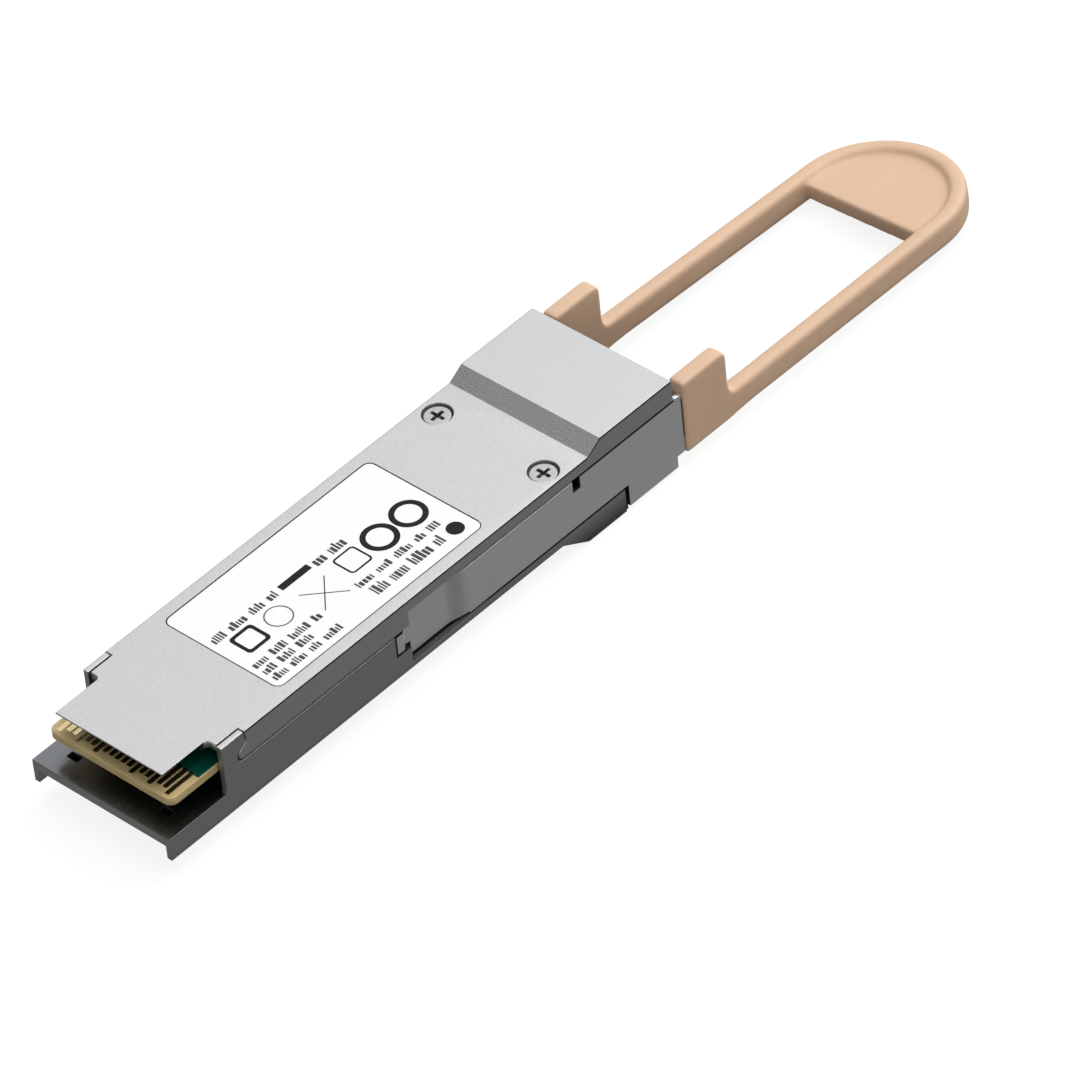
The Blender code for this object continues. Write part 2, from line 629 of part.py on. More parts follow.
def delatch_slider(parent):
    """The sheet-metal slider: two arms joined by a bridge under the head."""
    jogged = [(ARM_INNER_X[0], ARM_JOG), *bend(ARM_INNER_X[1], ARM_OUTER_X), (ARM_OUTER_X + SHEET, 0)]
    release = [(RELEASE_TAB_X[0], 0)]
    release += [(x, ARM_JOG - jog) for x, jog in bend(RELEASE_TAB_X[1], RELEASE_BEND_END_X)]
    release.append((ARM_INNER_X[0] + SHEET, ARM_JOG))
    arms = [slider_side_plate(-1)]
    arms += both_sides(lambda side: arm_strip(jogged, ARM_INNER_BOTTOM, SLIDER_TOP, side))
    arms += both_sides(lambda side: arm_strip(release, *RELEASE_TAB_Z, side))
    arms += both_sides(lambda side: side_block(
        PRONG_X, PRONG_Y, PRONG_Z, side))
    arms += both_sides(lambda side: side_block(
        (PRONG_X[0], SLIDER_FRONT_X), (PRONG_Y[0], BODY_HALF_WIDTH - SHEET / 2), PRONG_Z, side))
    arms += both_sides(lambda side: side_block(
        (SPRING_TAB_X, SPRING_TAB_X + SHEET),
        (SPRING_Y - SPRING_RADIUS + SPRING_WIRE_RADIUS, BODY_HALF_WIDTH - SHEET / 2),
        (SPRING_Z - SPRING_RADIUS, SPRING_Z + SPRING_RADIUS), side))
    bridge = centred_block(BRIDGE_X, BODY_HALF_WIDTH - SHEET / 2, (BRIDGE_BOTTOM, BRIDGE_BOTTOM + SHEET))
    look = (SHEET_METAL, 0.35, 1.0)
    piece("delatch_slider", bridge, parent, look, joined=[slider_side_plate(1), *arms])


def return_spring(name, side, parent):
    """A compression spring between the slider's inward tab and the end of its pocket."""
    start = SPRING_TAB_X + SHEET + SEAM + SPRING_WIRE_RADIUS
    end = SPRING_POCKET_X[1] - SEAM - SPRING_WIRE_RADIUS
    steps_per_coil = 14
    steps = SPRING_COILS * steps_per_coil
    path = []
    for step in range(steps + 1):
        share = step / steps
        angle = math.tau * SPRING_COILS * share
        across = Vector((0, math.cos(angle), math.sin(angle))) * SPRING_RADIUS
        path.append(Vector((start + (end - start) * share, SPRING_Y * side, SPRING_Z)) + across)
    sides = 6
    section = []
    for number in range(sides):
        angle = math.tau * number / sides
        section.append((SPRING_WIRE_RADIUS * math.cos(angle), SPRING_WIRE_RADIUS * math.sin(angle)))
    look = (SPRING_STEEL, 0.25, 1.0)
    piece(name, sweep(path, section, Vector((1, 0, 0))), parent, look, smooth=True)


# Pull tab

def askew(x, y, z):
    """A tab point moved to where the tab has sunk and twisted past the ears."""
    past = max(0, x - EAR_FRONT_X)
    twist = TAB_TWIST * past
    middle = ARM_BOTTOM + ARM_HEIGHT / 2
    rise = z - middle
    return (
        x,
        y * math.cos(twist) + rise * math.sin(twist),
        middle - TAB_DROOP * past + rise * math.cos(twist) - y * math.sin(twist),
    )


def set_askew(mesh):
    """A tab mesh whose every point is moved to the sunk and twisted shape."""
    for vertex in mesh.vertices:
        vertex.co = askew(*vertex.co)
    return mesh


def tab_loop():
    """The two arms and the round rim at the end, one bar swept round the loop."""
    middle = ARM_BOTTOM + ARM_HEIGHT / 2
    reach = ARM_OUTER - ARM_WIDTH / 2
    start_x = TAB_REAR_X + 2 * ARM_WIDTH
    arm_steps = 10
    arc_steps = 28
    arm = []
    for step in range(arm_steps):
        arm.append((start_x + (TAB_END_CENTRE_X - start_x) * step / arm_steps, reach))
    arc = []
    for step in range(arc_steps + 1):
        angle = math.pi / 2 - math.pi * step / arc_steps
        arc.append((TAB_END_CENTRE_X + reach * math.cos(angle), reach * math.sin(angle)))
    loop = arm + arc + [(x, -y) for x, y in reversed(arm)]
    half_width, half_height = ARM_WIDTH / 2, ARM_HEIGHT / 2
    corners = [
        (-half_width, -half_height), (half_width, -half_height),
        (half_width, half_height), (-half_width, half_height),
    ]
    section = rounded([(out, rise, TAB_EDGE_RADIUS) for out, rise in corners], steps=3)
    return set_askew(sweep([(x, y, middle) for x, y in loop], section, Vector((0, 0, 1))))


def tab_leg(side):
    """A leg with its upstanding ear, drawn from the side, that ends inside the arm."""
    arm_top = ARM_BOTTOM + ARM_HEIGHT
    toe = EAR_FRONT_X + 2 * TAB_FILLET
    inside = TAB_EDGE_RADIUS / 2
    outline = rounded([
        (TAB_REAR_X, ARM_BOTTOM, 0),
        (EAR_FRONT_X, ARM_BOTTOM, 0),
        (toe, ARM_BOTTOM + inside, 0),
        (toe, arm_top - inside, 0),
        (EAR_FRONT_X, arm_top - inside, TAB_FILLET),
        (EAR_FRONT_X, EAR_TOP, EAR_CORNER),
        (TAB_REAR_X, EAR_TOP, 0),
    ])
    near, far = sorted(((ARM_OUTER - ARM_WIDTH) * side, ARM_OUTER * side))
    return set_askew(prism(outline, "Y", near, far))


def tab_web():
    """The thin D-shaped finger web inside the rim."""
    reach = ARM_OUTER - ARM_WIDTH / 2
    steps = 24
    outline = [(WEB_X, reach), (WEB_X, -reach)]
    for step in range(steps + 1):
        angle = -math.pi / 2 + math.pi * step / steps
        outline.append((TAB_END_CENTRE_X + reach * math.cos(angle), reach * math.sin(angle)))
    middle = ARM_BOTTOM + ARM_HEIGHT / 2
    web = prism(outline, "Z", middle - WEB_THICKNESS / 2, middle + WEB_THICKNESS / 2)
    return set_askew(web)


def pull_tab(parent):
    """The moulded tab: two legs over the slider's prongs, two arms and a D-shaped end."""
    slots = both_sides(lambda side: side_block(
        (TAB_REAR_X - PAST, PRONG_X[1] + PRONG_SLOT_GAP),
        (PRONG_Y[0] - PRONG_SLOT_GAP, PRONG_Y[1] + PRONG_SLOT_GAP),
        (PRONG_Z[0] - PRONG_SLOT_GAP, PRONG_Z[1] + PRONG_SLOT_GAP), side))
    joined = [tab_web(), tab_leg(1), tab_leg(-1)]
    look = (TAB_BEIGE, 0.5, 0.0)
    piece("pull_tab", tab_loop(), parent, look, joined=joined, cut=slots)


# Board and its pieces

def circuit_board(parent):
    """The paddle card, wide at its contact edge and narrower past the latch pockets."""
    side = [
        (BOARD_X[0], BOARD_HALF_WIDTH, BOARD_CORNER),
        (BOARD_NOTCH_X[0], BOARD_HALF_WIDTH, 0),
        (BOARD_NOTCH_X[0], BOARD_HALF_WIDTH - BOARD_NOTCH_DEPTH, 0),
        (BOARD_NOTCH_X[1], BOARD_HALF_WIDTH - BOARD_NOTCH_DEPTH, 0),
        (BOARD_NOTCH_X[1], BOARD_HALF_WIDTH, 0),
        (BOARD_NARROW_X, BOARD_HALF_WIDTH, 0),
        (BOARD_NARROW_X, BOARD_NARROW_HALF_WIDTH, 0),
        (BOARD_X[1], BOARD_NARROW_HALF_WIDTH, 0),
    ]
    mirrored = [(x, -y, radius) for x, y, radius in reversed(side)]
    outline = rounded(side + mirrored)
    piece("circuit_board", prism(outline, "Z", *BOARD_Z), parent, (BOARD_GREEN, 0.35, 0.0))


def board_pieces(parent):
    """The chips, passives and thermal pads on both faces of the board."""
    for name, (low, high, chamfer, colour) in BOARD_PIECES.items():
        mesh = block([value * MM for value in low], [value * MM for value in high])
        piece(name, mesh, parent, (colour, 0.5, 0.0), chamfer=chamfer * MM)
    for number in range(CAPACITOR_COUNT):
        low = (CAPACITOR_START[0], CAPACITOR_START[1] + CAPACITOR_PITCH * number, CAPACITOR_START[2])
        high = [start + size for start, size in zip(low, CAPACITOR_SIZE)]
        mesh = block([value * MM for value in low], [value * MM for value in high])
        look = (CERAMIC, 0.5, 0.0)
        piece(f"bulk_capacitor_{number + 1}", mesh, parent, look, chamfer=CAPACITOR_CHAMFER * MM)


def lens_block(parent):
    """The moulded lens block that stands over the lasers and photodiodes."""
    body, cavity = (
        block([value * MM for value in low], [value * MM for value in high])
        for low, high in (LENS_BLOCK, LENS_CAVITY)
    )
    piece("lens_block", body, parent, (LENS_AMBER, 0.1, 0.0), cut=[cavity])


# Optical port

def port_z(half_height):
    """A height range about the middle of the optical port."""
    return PORT_CENTRE_Z - half_height, PORT_CENTRE_Z + half_height


def optical_receptacle(parent):
    """The port housing that takes the fibre plug, open to the front."""
    past_front = RECEPTACLE_X[1] + PAST
    flange_x = (RECEPTACLE_X[1] - FLANGE_DEPTH, RECEPTACLE_X[1])
    flange = centred_block(flange_x, FLANGE_HALF_WIDTH, port_z(FLANGE_HALF_HEIGHT))
    cut = [
        centred_block(
            (RECEPTACLE_X[0] + RECEPTACLE_BACK, past_front), PORT_HALF_WIDTH, port_z(PORT_HALF_HEIGHT)),
        centred_block(
            (KEYWAY_X, past_front), KEYWAY_HALF_WIDTH,
            (PORT_CENTRE_Z, PORT_CENTRE_Z + PORT_HALF_HEIGHT + KEYWAY_DEPTH)),
        centred_block(
            (RECEPTACLE_X[0] - PAST, past_front), FERRULE_HALF_WIDTH + CLEARANCE,
            port_z(FERRULE_HALF_HEIGHT + CLEARANCE)),
    ]
    cut += both_sides(lambda side: side_block(
        (RECEPTACLE_X[0] - PAST, RECEPTACLE_X[1] - PAST),
        (HOOK_Y[0] - CLEARANCE, HOOK_Y[1] + SEAM),
        port_z(HOOK_HALF_HEIGHT + CLEARANCE), side))
    body = centred_block(RECEPTACLE_X, RECEPTACLE_HALF_WIDTH, port_z(RECEPTACLE_HALF_HEIGHT))
    piece("optical_receptacle", body, parent, (PORT_BLACK, 0.5, 0.0), joined=[flange], cut=cut)


def latch_hooks(parent):
    """The clip behind the port, with a hook on each side that holds the fibre plug."""
    joined = both_sides(lambda side: side_block(
        (CLIP_X[1] - SEAM, HOOK_TIP_X), HOOK_Y, port_z(HOOK_HALF_HEIGHT), side))
    joined += both_sides(lambda side: side_block(
        (HOOK_TIP_X - HOOK_BARB_LENGTH, HOOK_TIP_X), (HOOK_Y[0] - HOOK_BARB, HOOK_Y[1]),
        port_z(HOOK_HALF_HEIGHT), side))
    window = centred_block(
        (CLIP_X[0] - PAST, CLIP_X[1] + PAST), FERRULE_HALF_WIDTH + CLEARANCE,
        port_z(FERRULE_HALF_HEIGHT + CLEARANCE))
    plate = centred_block(CLIP_X, CLIP_HALF_WIDTH, port_z(CLIP_HALF_HEIGHT))
    look = (LABEL_WHITE, 0.4, 0.0)
    piece("latch_hooks", plate, parent, look, joined=joined, cut=[window])


def pin_bores(x_range):
    """Cutters for the two guide pins."""
    return both_sides(lambda side: cylinder(
        (PIN_Y * side, PORT_CENTRE_Z), "X", *x_range, PIN_HOLE_RADIUS))


def mt_ferrule(parent):
    """The fibre ferrule, with its shoulder behind the port."""
    shoulder = centred_block(
        (FERRULE_X[0], FERRULE_SHOULDER_X), FERRULE_HALF_WIDTH + FERRULE_SHOULDER,
        port_z(FERRULE_HALF_HEIGHT + FERRULE_SHOULDER))
    slot = centred_block(
        (FERRULE_X[0] - PAST, RIBBON_X[1] + CLEARANCE), RIBBON_SLOT_HALF_WIDTH - SEAM,
        port_z(RIBBON_SLOT_HALF_HEIGHT))
    body = centred_block(FERRULE_X, FERRULE_HALF_WIDTH, port_z(FERRULE_HALF_HEIGHT))
    cut = [slot, *pin_bores((FERRULE_X[0] - PAST, FERRULE_X[1] + PAST))]
    piece("mt_ferrule", body, parent, (FERRULE_GREY, 0.45, 0.0), joined=[shoulder], cut=cut)


def pin_clamp(parent):
    """The block that holds the guide pins behind the ferrule."""
    slot = centred_block(
        (CLAMP_X[0] - PAST, CLAMP_X[1] + PAST), RIBBON_SLOT_HALF_WIDTH - SEAM,
        port_z(RIBBON_SLOT_HALF_HEIGHT))
    body = centred_block(CLAMP_X, CLAMP_HALF_WIDTH, port_z(CLAMP_HALF_HEIGHT))
    cut = [slot, *pin_bores((CLAMP_X[0] - PAST, CLAMP_X[1] + PAST))]
    piece("pin_clamp", body, parent, (STEEL, 0.35, 1.0), cut=cut)


def guide_pin(name, side, parent):
    """A pin that lines the plug up with the ferrule."""
    mesh = cylinder((PIN_Y * side, PORT_CENTRE_Z), "X", *PIN_X, PIN_RADIUS)
    piece(name, mesh, parent, (STEEL, 0.2, 1.0), smooth=True)


def fibre_ribbon(parent):
    """The flat fibre ribbon that runs down from the lens block to the ferrule."""
    steps = 14
    middle = [(RIBBON_X[0], RIBBON_START_Z)]
    for step in range(steps + 1):
        share = step / steps
        x = RIBBON_BEND_X[0] + (RIBBON_BEND_X[1] - RIBBON_BEND_X[0]) * share
        drop = (1 - math.cos(math.pi * share)) / 2
        middle.append((x, RIBBON_START_Z + (PORT_CENTRE_Z - RIBBON_START_Z) * drop))
    middle.append((RIBBON_X[1], PORT_CENTRE_Z))
    half = RIBBON_THICKNESS / 2
    section = [
        (-RIBBON_HALF_WIDTH, -half), (RIBBON_HALF_WIDTH, -half),
        (RIBBON_HALF_WIDTH, half), (-RIBBON_HALF_WIDTH, half),
    ]
    path = [(x, 0, z) for x, z in middle]
    piece("fibre_ribbon", sweep(path, section, Vector((0, 0, 1))), parent, (RIBBON_AQUA, 0.4, 0.0))


def emi_gasket(parent):
    """The conductive gasket round the port housing."""
    past = (GASKET_X[0] - PAST, GASKET_X[1] + PAST)
    hole = centred_block(past, GASKET_HALF[0] - GASKET_BAND, port_z(GASKET_HALF[1] - GASKET_BAND))
    body = centred_block(GASKET_X, GASKET_HALF[0], port_z(GASKET_HALF[1]))
    piece("emi_gasket", body, parent, (GASKET_GREY, 0.8, 0.0), cut=[hole])


# Assembly

def frame_empty(name, parent, location):
    """An empty that carries a rigid group of pieces."""
    empty = bpy.data.objects.new(name, None)
    bpy.context.scene.collection.objects.link(empty)
    empty.parent = parent
    empty.location = location
    return empty


def build_module():
    """The whole module: the fixed pieces, and the slider group on its own empty."""
    for thing in list(bpy.data.objects):
        bpy.data.objects.remove(thing, do_unlink=True)
    module = frame_empty("module_frame", None, (-REAR_TO_ORIGIN, 0, 0))
    delatch = frame_empty("delatch_frame", module, (0, 0, 0))
    base_shell(module)
    cover_shell(module)
    rating_label(module)
    for name, side in (("left", 1), ("right", -1)):
        cover_screw(f"cover_screw_{name}", side, module)
        return_spring(f"return_spring_{name}", side, module)
        guide_pin(f"guide_pin_{name}", side, module)
    delatch_slider(delatch)
    pull_tab(delatch)
    circuit_board(module)
    board_pieces(module)
    lens_block(module)
    optical_receptacle(module)
    latch_hooks(module)
    mt_ferrule(module)
    pin_clamp(module)
    fibre_ribbon(module)
    emi_gasket(module)


build_module()
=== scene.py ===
"""The look of a small pluggable optical transceiver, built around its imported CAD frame."""
import json
import math
import random

import bmesh
import bpy
from mathutils import Matrix, Vector


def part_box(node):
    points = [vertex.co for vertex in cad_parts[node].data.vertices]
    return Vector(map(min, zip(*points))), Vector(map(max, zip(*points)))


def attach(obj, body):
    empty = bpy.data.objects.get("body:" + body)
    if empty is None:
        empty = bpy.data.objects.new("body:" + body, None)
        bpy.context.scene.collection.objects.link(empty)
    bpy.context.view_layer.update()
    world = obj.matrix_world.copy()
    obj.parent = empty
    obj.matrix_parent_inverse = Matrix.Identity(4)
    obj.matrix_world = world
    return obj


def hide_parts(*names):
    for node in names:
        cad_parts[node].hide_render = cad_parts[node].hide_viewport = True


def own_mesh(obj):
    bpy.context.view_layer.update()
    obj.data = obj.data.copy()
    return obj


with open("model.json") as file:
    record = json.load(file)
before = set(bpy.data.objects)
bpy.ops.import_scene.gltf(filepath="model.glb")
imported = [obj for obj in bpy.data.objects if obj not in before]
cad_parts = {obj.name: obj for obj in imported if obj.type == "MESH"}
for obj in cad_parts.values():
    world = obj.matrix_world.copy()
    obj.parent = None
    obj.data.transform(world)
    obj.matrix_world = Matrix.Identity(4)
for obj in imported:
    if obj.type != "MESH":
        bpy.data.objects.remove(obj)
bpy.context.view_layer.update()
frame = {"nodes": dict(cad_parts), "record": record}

MM = 0.001
NODES = frame["nodes"]
BODY_OF = {node: body for body, nodes in frame["record"]["behaviour"]["bodies"].items() for node in nodes}
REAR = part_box("base_shell")[0].x


# Camera: a long lens from behind and above the card edge, on the near side. Its angles, in
# degrees, are a turn about Z, a tilt up from looking straight down, and a roll.

CAMERA_LENS_MM = 281.57
CAMERA_AIM = Vector((22.76, -6.69, 0.0)) * MM
CAMERA_DISTANCE = 0.8286
CAMERA_TURN = -43.706
CAMERA_TILT = 48.135
CAMERA_ROLL = -6.206


def add_camera():
    """The camera, backed away from the point that it aims at."""
    data = bpy.data.cameras.new("camera")
    data.lens = CAMERA_LENS_MM
    data.sensor_width = 36
    data.clip_start = 0.01
    thing = bpy.data.objects.new("camera", data)
    bpy.context.scene.collection.objects.link(thing)
    thing.matrix_world = (
        Matrix.Translation(CAMERA_AIM)
        @ Matrix.Rotation(math.radians(CAMERA_TURN), 4, "Z")
        @ Matrix.Rotation(math.radians(CAMERA_TILT), 4, "X")
        @ Matrix.Rotation(math.radians(CAMERA_ROLL), 4, "Z")
        @ Matrix.Translation((0, 0, CAMERA_DISTANCE)))
    bpy.context.scene.camera = thing


# Materials

def lin(red, green, blue):
    """A colour from 0 to 255 screen values."""
    def one(value):
        value /= 255
        return value / 12.92 if value <= 0.04045 else ((value + 0.055) / 1.055) ** 2.4
    return (one(red), one(green), one(blue), 1.0)


class Finish:
    """A Principled material whose nodes are added one by one."""

    def __init__(self, name, colour, roughness, metallic=0.0, **sockets):
        self.material = bpy.data.materials.new(name)
        self.material.use_nodes = True
        self.tree = self.material.node_tree
        self.shader = self.tree.nodes["Principled BSDF"]
        self.set("Base Color", colour)
        self.set("Roughness", roughness)
        self.set("Metallic", metallic)
        for socket, value in sockets.items():
            self.set(socket.replace("_", " "), value)
        self.last_normal = None

    def set(self, socket, value):
        self.shader.inputs[socket].default_value = value

    def node(self, kind, **inputs):
        made = self.tree.nodes.new(kind)
        for socket, value in inputs.items():
            made.inputs[socket.replace("_", " ")].default_value = value
        return made

    def link(self, source, target):
        self.tree.links.new(source, target)

    def place(self, stretch=(1, 1, 1)):
        """The object's own coordinates in metres, stretched."""
        where = self.node("ShaderNodeTexCoord")
        mapping = self.node("ShaderNodeMapping", Scale=stretch)
        self.link(where.outputs["Object"], mapping.inputs["Vector"])
        return mapping.outputs["Vector"]

    def noise(self, scale, detail=2.0, stretch=(1, 1, 1), roughness=0.5, low=0.3, high=0.7):
        """Noise spread over 0 to 1, with scale in features per metre."""
        made = self.node("ShaderNodeTexNoise", Scale=scale, Detail=detail, Roughness=roughness)
        self.link(self.place(stretch), made.inputs["Vector"])
        spread = self.node("ShaderNodeMapRange", From_Min=low, From_Max=high)
        self.link(made.outputs["Fac"], spread.inputs["Value"])
        return spread.outputs["Result"]

    def scaled(self, factor, low, high):
        made = self.node("ShaderNodeMapRange", To_Min=low, To_Max=high)
        self.link(factor, made.inputs["Value"])
        return made.outputs["Result"]

    def below(self, start, full):
        """0 above a height in metres, rising to 1 at a lower one."""
        parts = self.node("ShaderNodeSeparateXYZ")
        self.link(self.place(), parts.inputs["Vector"])
        spread = self.node("ShaderNodeMapRange", From_Min=start, From_Max=full)
        self.link(parts.outputs["Z"], spread.inputs["Value"])
        return spread.outputs["Result"]

    def edges(self, radius, start=0.02, full=0.25):
        """About 1 on convex and concave edges within a radius, 0 on flat faces."""
        bevel = self.node("ShaderNodeBevel", Radius=radius)
        bevel.samples = 6
        flat = self.node("ShaderNodeNewGeometry")
        dot = self.node("ShaderNodeVectorMath")
        dot.operation = "DOT_PRODUCT"
        self.link(bevel.outputs["Normal"], dot.inputs[0])
        self.link(flat.outputs["Normal"], dot.inputs[1])
        spread = self.node("ShaderNodeMapRange", From_Min=1 - start, From_Max=1 - full)
        self.link(dot.outputs["Value"], spread.inputs["Value"])
        return spread.outputs["Result"]

    def mix(self, factor, first, second):
        """A colour between two, either of which may be a socket."""
        made = self.tree.nodes.new("ShaderNodeMix")
        made.data_type = "RGBA"
        self.link(factor, made.inputs["Factor"])
        for socket, value in (("A", first), ("B", second)):
            target = [s for s in made.inputs if s.name == socket and s.type == "RGBA"][0]
            if isinstance(value, (tuple, list)):
                target.default_value = value
            else:
                self.link(value, target)
        return [s for s in made.outputs if s.type == "RGBA"][0]

    def math(self, operation, first, second):
        made = self.tree.nodes.new("ShaderNodeMath")
        made.operation = operation
        made.use_clamp = True
        for index, value in enumerate((first, second)):
            if isinstance(value, (int, float)):
                made.inputs[index].default_value = value
            else:
                self.link(value, made.inputs[index])
        return made.outputs["Value"]

    def paint(self, colour):
        self.link(colour, self.shader.inputs["Base Color"])

    def rough(self, factor, low, high):
        self.link(self.scaled(factor, low, high), self.shader.inputs["Roughness"])

    def bump(self, height, distance, strength=1.0):
        """Adds a bump on top of any earlier one."""
        made = self.node("ShaderNodeBump", Strength=strength, Distance=distance)
        self.link(height, made.inputs["Height"])
        if self.last_normal:
            self.link(self.last_normal, made.inputs["Normal"])
        self.last_normal = made.outputs["Normal"]
        self.link(self.last_normal, self.shader.inputs["Normal"])

    def soften(self, radius):
        """Rounds the shading of small edges."""
        made = self.node("ShaderNodeBevel", Radius=radius)
        made.samples = 6
        self.last_normal = made.outputs["Normal"]
        self.link(self.last_normal, self.shader.inputs["Normal"])


# Heights in metres where the painted shade towards the underside begins and where it is full
PAINTED_LOW_SHADE_HEIGHTS = (0.7 * MM, -1.6 * MM)


def cast_finish(name, shade=0.66, roughness=(0.36, 0.5), grain=1.0, painted_low_shade=False):
    """Satin plated die casting with a fine pebbled grain and brighter rubbed edges.

    Optionally it paints shade, darkening the colour towards the module's underside.
    """
    tone = (shade, shade, shade * 1.01, 1)
    dull = (shade * 0.74, shade * 0.74, shade * 0.75, 1)
    bright = (min(1, shade * 1.3), min(1, shade * 1.3), min(1, shade * 1.3), 1)
    finish = Finish(name, tone, roughness[0], 1.0)
    pebbles = finish.noise(7000, 2.0, low=0.32, high=0.68)
    clouds = finish.noise(160, 3.0)
    coloured = finish.mix(finish.scaled(pebbles, 0.0, 0.55), tone, dull)
    coloured = finish.mix(finish.scaled(clouds, 0.0, 0.18), coloured, dull)
    patches = finish.scaled(finish.noise(900, 3.0), 0.0, 0.45)
    worn = finish.math("MULTIPLY", finish.edges(0.1 * MM), patches)
    coloured = finish.mix(worn, coloured, bright)
    # Painted shade: the colour darkens towards the underside
    if painted_low_shade:
        painted_shade_lowest = (shade * 0.3, shade * 0.3, shade * 0.31, 1)
        coloured = finish.mix(finish.below(*PAINTED_LOW_SHADE_HEIGHTS), coloured, painted_shade_lowest)
    finish.paint(coloured)
    mixed = finish.math("ADD", finish.scaled(pebbles, 0, 0.6), finish.scaled(clouds, 0, 0.4))
    finish.rough(mixed, *roughness)
    finish.bump(pebbles, 0.010 * MM * grain)
    finish.bump(finish.noise(21000, 1.0), 0.0015 * MM * grain)
    return finish.material


def sheet_finish(name):
    """Stamped sheet steel: smooth, lightly drawn along its length, with painted shade along its edges and
    creases.
    """
    tone = (0.96, 0.96, 0.96, 1)
    dull = (0.86, 0.86, 0.865, 1)
    finish = Finish(name, tone, 0.3, 0.9)
    drawn = finish.noise(700, 3.0, stretch=(0.06, 1, 6))
    clouds = finish.noise(120, 2.0)
    coloured = finish.mix(finish.scaled(drawn, 0, 0.25), tone, dull)
    coloured = finish.mix(finish.scaled(clouds, 0, 0.3), coloured, dull)
    # Painted shade: edges and creases are darkened towards dark grey
    coloured = finish.mix(finish.scaled(finish.edges(0.07 * MM), 0, 0.35), coloured, (0.3, 0.3, 0.3, 1))
    finish.paint(coloured)
    finish.rough(clouds, 0.26, 0.36)
    finish.bump(drawn, 0.0005 * MM)
    return finish.material


def painted_shadow_finish(name):
    """Painted shadow: near-black for the unlit insides of seams, slots and windows, with a faint mottle.
    """
    finish = Finish(name, (0.012, 0.012, 0.013, 1), 0.8, 0.0, Specular_IOR_Level=0.15)
    shadow_mottle = finish.noise(4000, 2.0)
    finish.paint(finish.mix(shadow_mottle, (0.010, 0.010, 0.011, 1), (0.018, 0.018, 0.019, 1)))
    finish.rough(shadow_mottle, 0.7, 0.9)
    return finish.material


def turned_finish(name, shade, roughness, scale=9000):
    """Small bright steel parts."""
    tone = (shade, shade * 0.99, shade * 0.97, 1)
    finish = Finish(name, tone, roughness, 1.0)
    finish.soften(0.04 * MM)
    marks = finish.noise(scale, 2.0)
    finish.paint(finish.mix(finish.scaled(marks, 0, 0.5), tone, tuple(c * 0.7 for c in tone[:3]) + (1,)))
    finish.rough(marks, roughness, roughness + 0.14)
    finish.bump(marks, 0.002 * MM)
    return finish.material


def machined_finish(name):
    """The milled seat under the card: dark, nearly smooth, with faint tool marks."""
    tone = (0.26, 0.27, 0.285, 1)
    finish = Finish(name, tone, 0.22, 1.0)
    marks = finish.noise(1500, 2.0, stretch=(0.2, 2, 1))
    finish.paint(finish.mix(finish.scaled(marks, 0, 0.3), tone, (0.19, 0.2, 0.22, 1)))
    finish.rough(marks, 0.22, 0.28)
    finish.bump(marks, 0.0002 * MM)
    return finish.material


def moulded_finish(name, colour, shadow, roughness, texture=0.004, subsurface=0.0, scale=2600):
    """Moulded plastic with a fine spark-eroded texture."""
    finish = Finish(name, colour, roughness, 0.0, Specular_IOR_Level=0.45)
    if subsurface:
        finish.set("Subsurface Weight", subsurface)
        finish.set("Subsurface Radius", (0.0012, 0.0007, 0.0004))
        finish.set("Subsurface Scale", 0.4)
    texture_noise = finish.noise(scale, 2.0)
    clouds = finish.noise(90, 2.0)
    coloured = finish.mix(finish.scaled(clouds, 0, 0.35), colour, shadow)
    coloured = finish.mix(finish.scaled(texture_noise, 0, 0.2), coloured, shadow)
    finish.paint(coloured)
    finish.rough(texture_noise, roughness, roughness + 0.12)
    finish.bump(texture_noise, texture * MM)
    return finish.material


def label_finish(name):
    """White polyester label stock with a faint satin unevenness."""
    white = (0.94, 0.94, 0.94, 1)
    finish = Finish(name, white, 0.35, 0.0, Coat_Weight=0.15, Coat_Roughness=0.3)
    fibres = finish.noise(3000, 2.0)
    clouds = finish.noise(70, 2.0)
    finish.paint(finish.mix(finish.scaled(clouds, 0, 0.3), white, (0.9, 0.9, 0.905, 1)))
    finish.rough(fibres, 0.3, 0.42)
    finish.bump(fibres, 0.0015 * MM)
    return finish.material


def ink_finish(name, colour):
    """Thermal-transfer ink: matte, slightly patchy."""
    finish = Finish(name, colour, 0.7, Specular_IOR_Level=0.08)
    patches = finish.noise(6000, 2.0)
    lighter = tuple(min(1, c + 0.02) for c in colour[:3]) + (1,)
    finish.paint(finish.mix(patches, colour, lighter))
    finish.rough(patches, 0.6, 0.8)
    return finish.material


def mask_finish(name):
    """Green solder mask over copper: glossy, with faint tracks showing as darker and lighter green."""
    green = (0.0, 0.075, 0.045, 1)
    light = (0.002, 0.095, 0.058, 1)
    finish = Finish(name, green, 0.22, 0.0, Coat_Weight=0.4, Coat_Roughness=0.12)
    tracks = finish.noise(1300, 1.0, stretch=(0.15, 1, 1), low=0.46, high=0.54)
    finish.paint(finish.mix(tracks, green, light))
    finish.rough(finish.noise(900, 2.0), 0.18, 0.3)
    finish.bump(tracks, 0.0015 * MM)
    return finish.material


def laminate_finish(name):
    """Glass-epoxy laminate: tan, with woven glass showing on cut edges."""
    tan = lin(216, 194, 140)
    dark = lin(158, 132, 86)
    finish = Finish(name, tan, 0.5, 0.0)
    layers = finish.noise(900, 2.0, stretch=(0.4, 0.4, 9))
    weave = finish.noise(4200, 2.0)
    finish.paint(finish.mix(finish.scaled(layers, 0, 0.6), tan, dark))
    finish.rough(weave, 0.42, 0.62)
    finish.bump(weave, 0.006 * MM)
    return finish.material


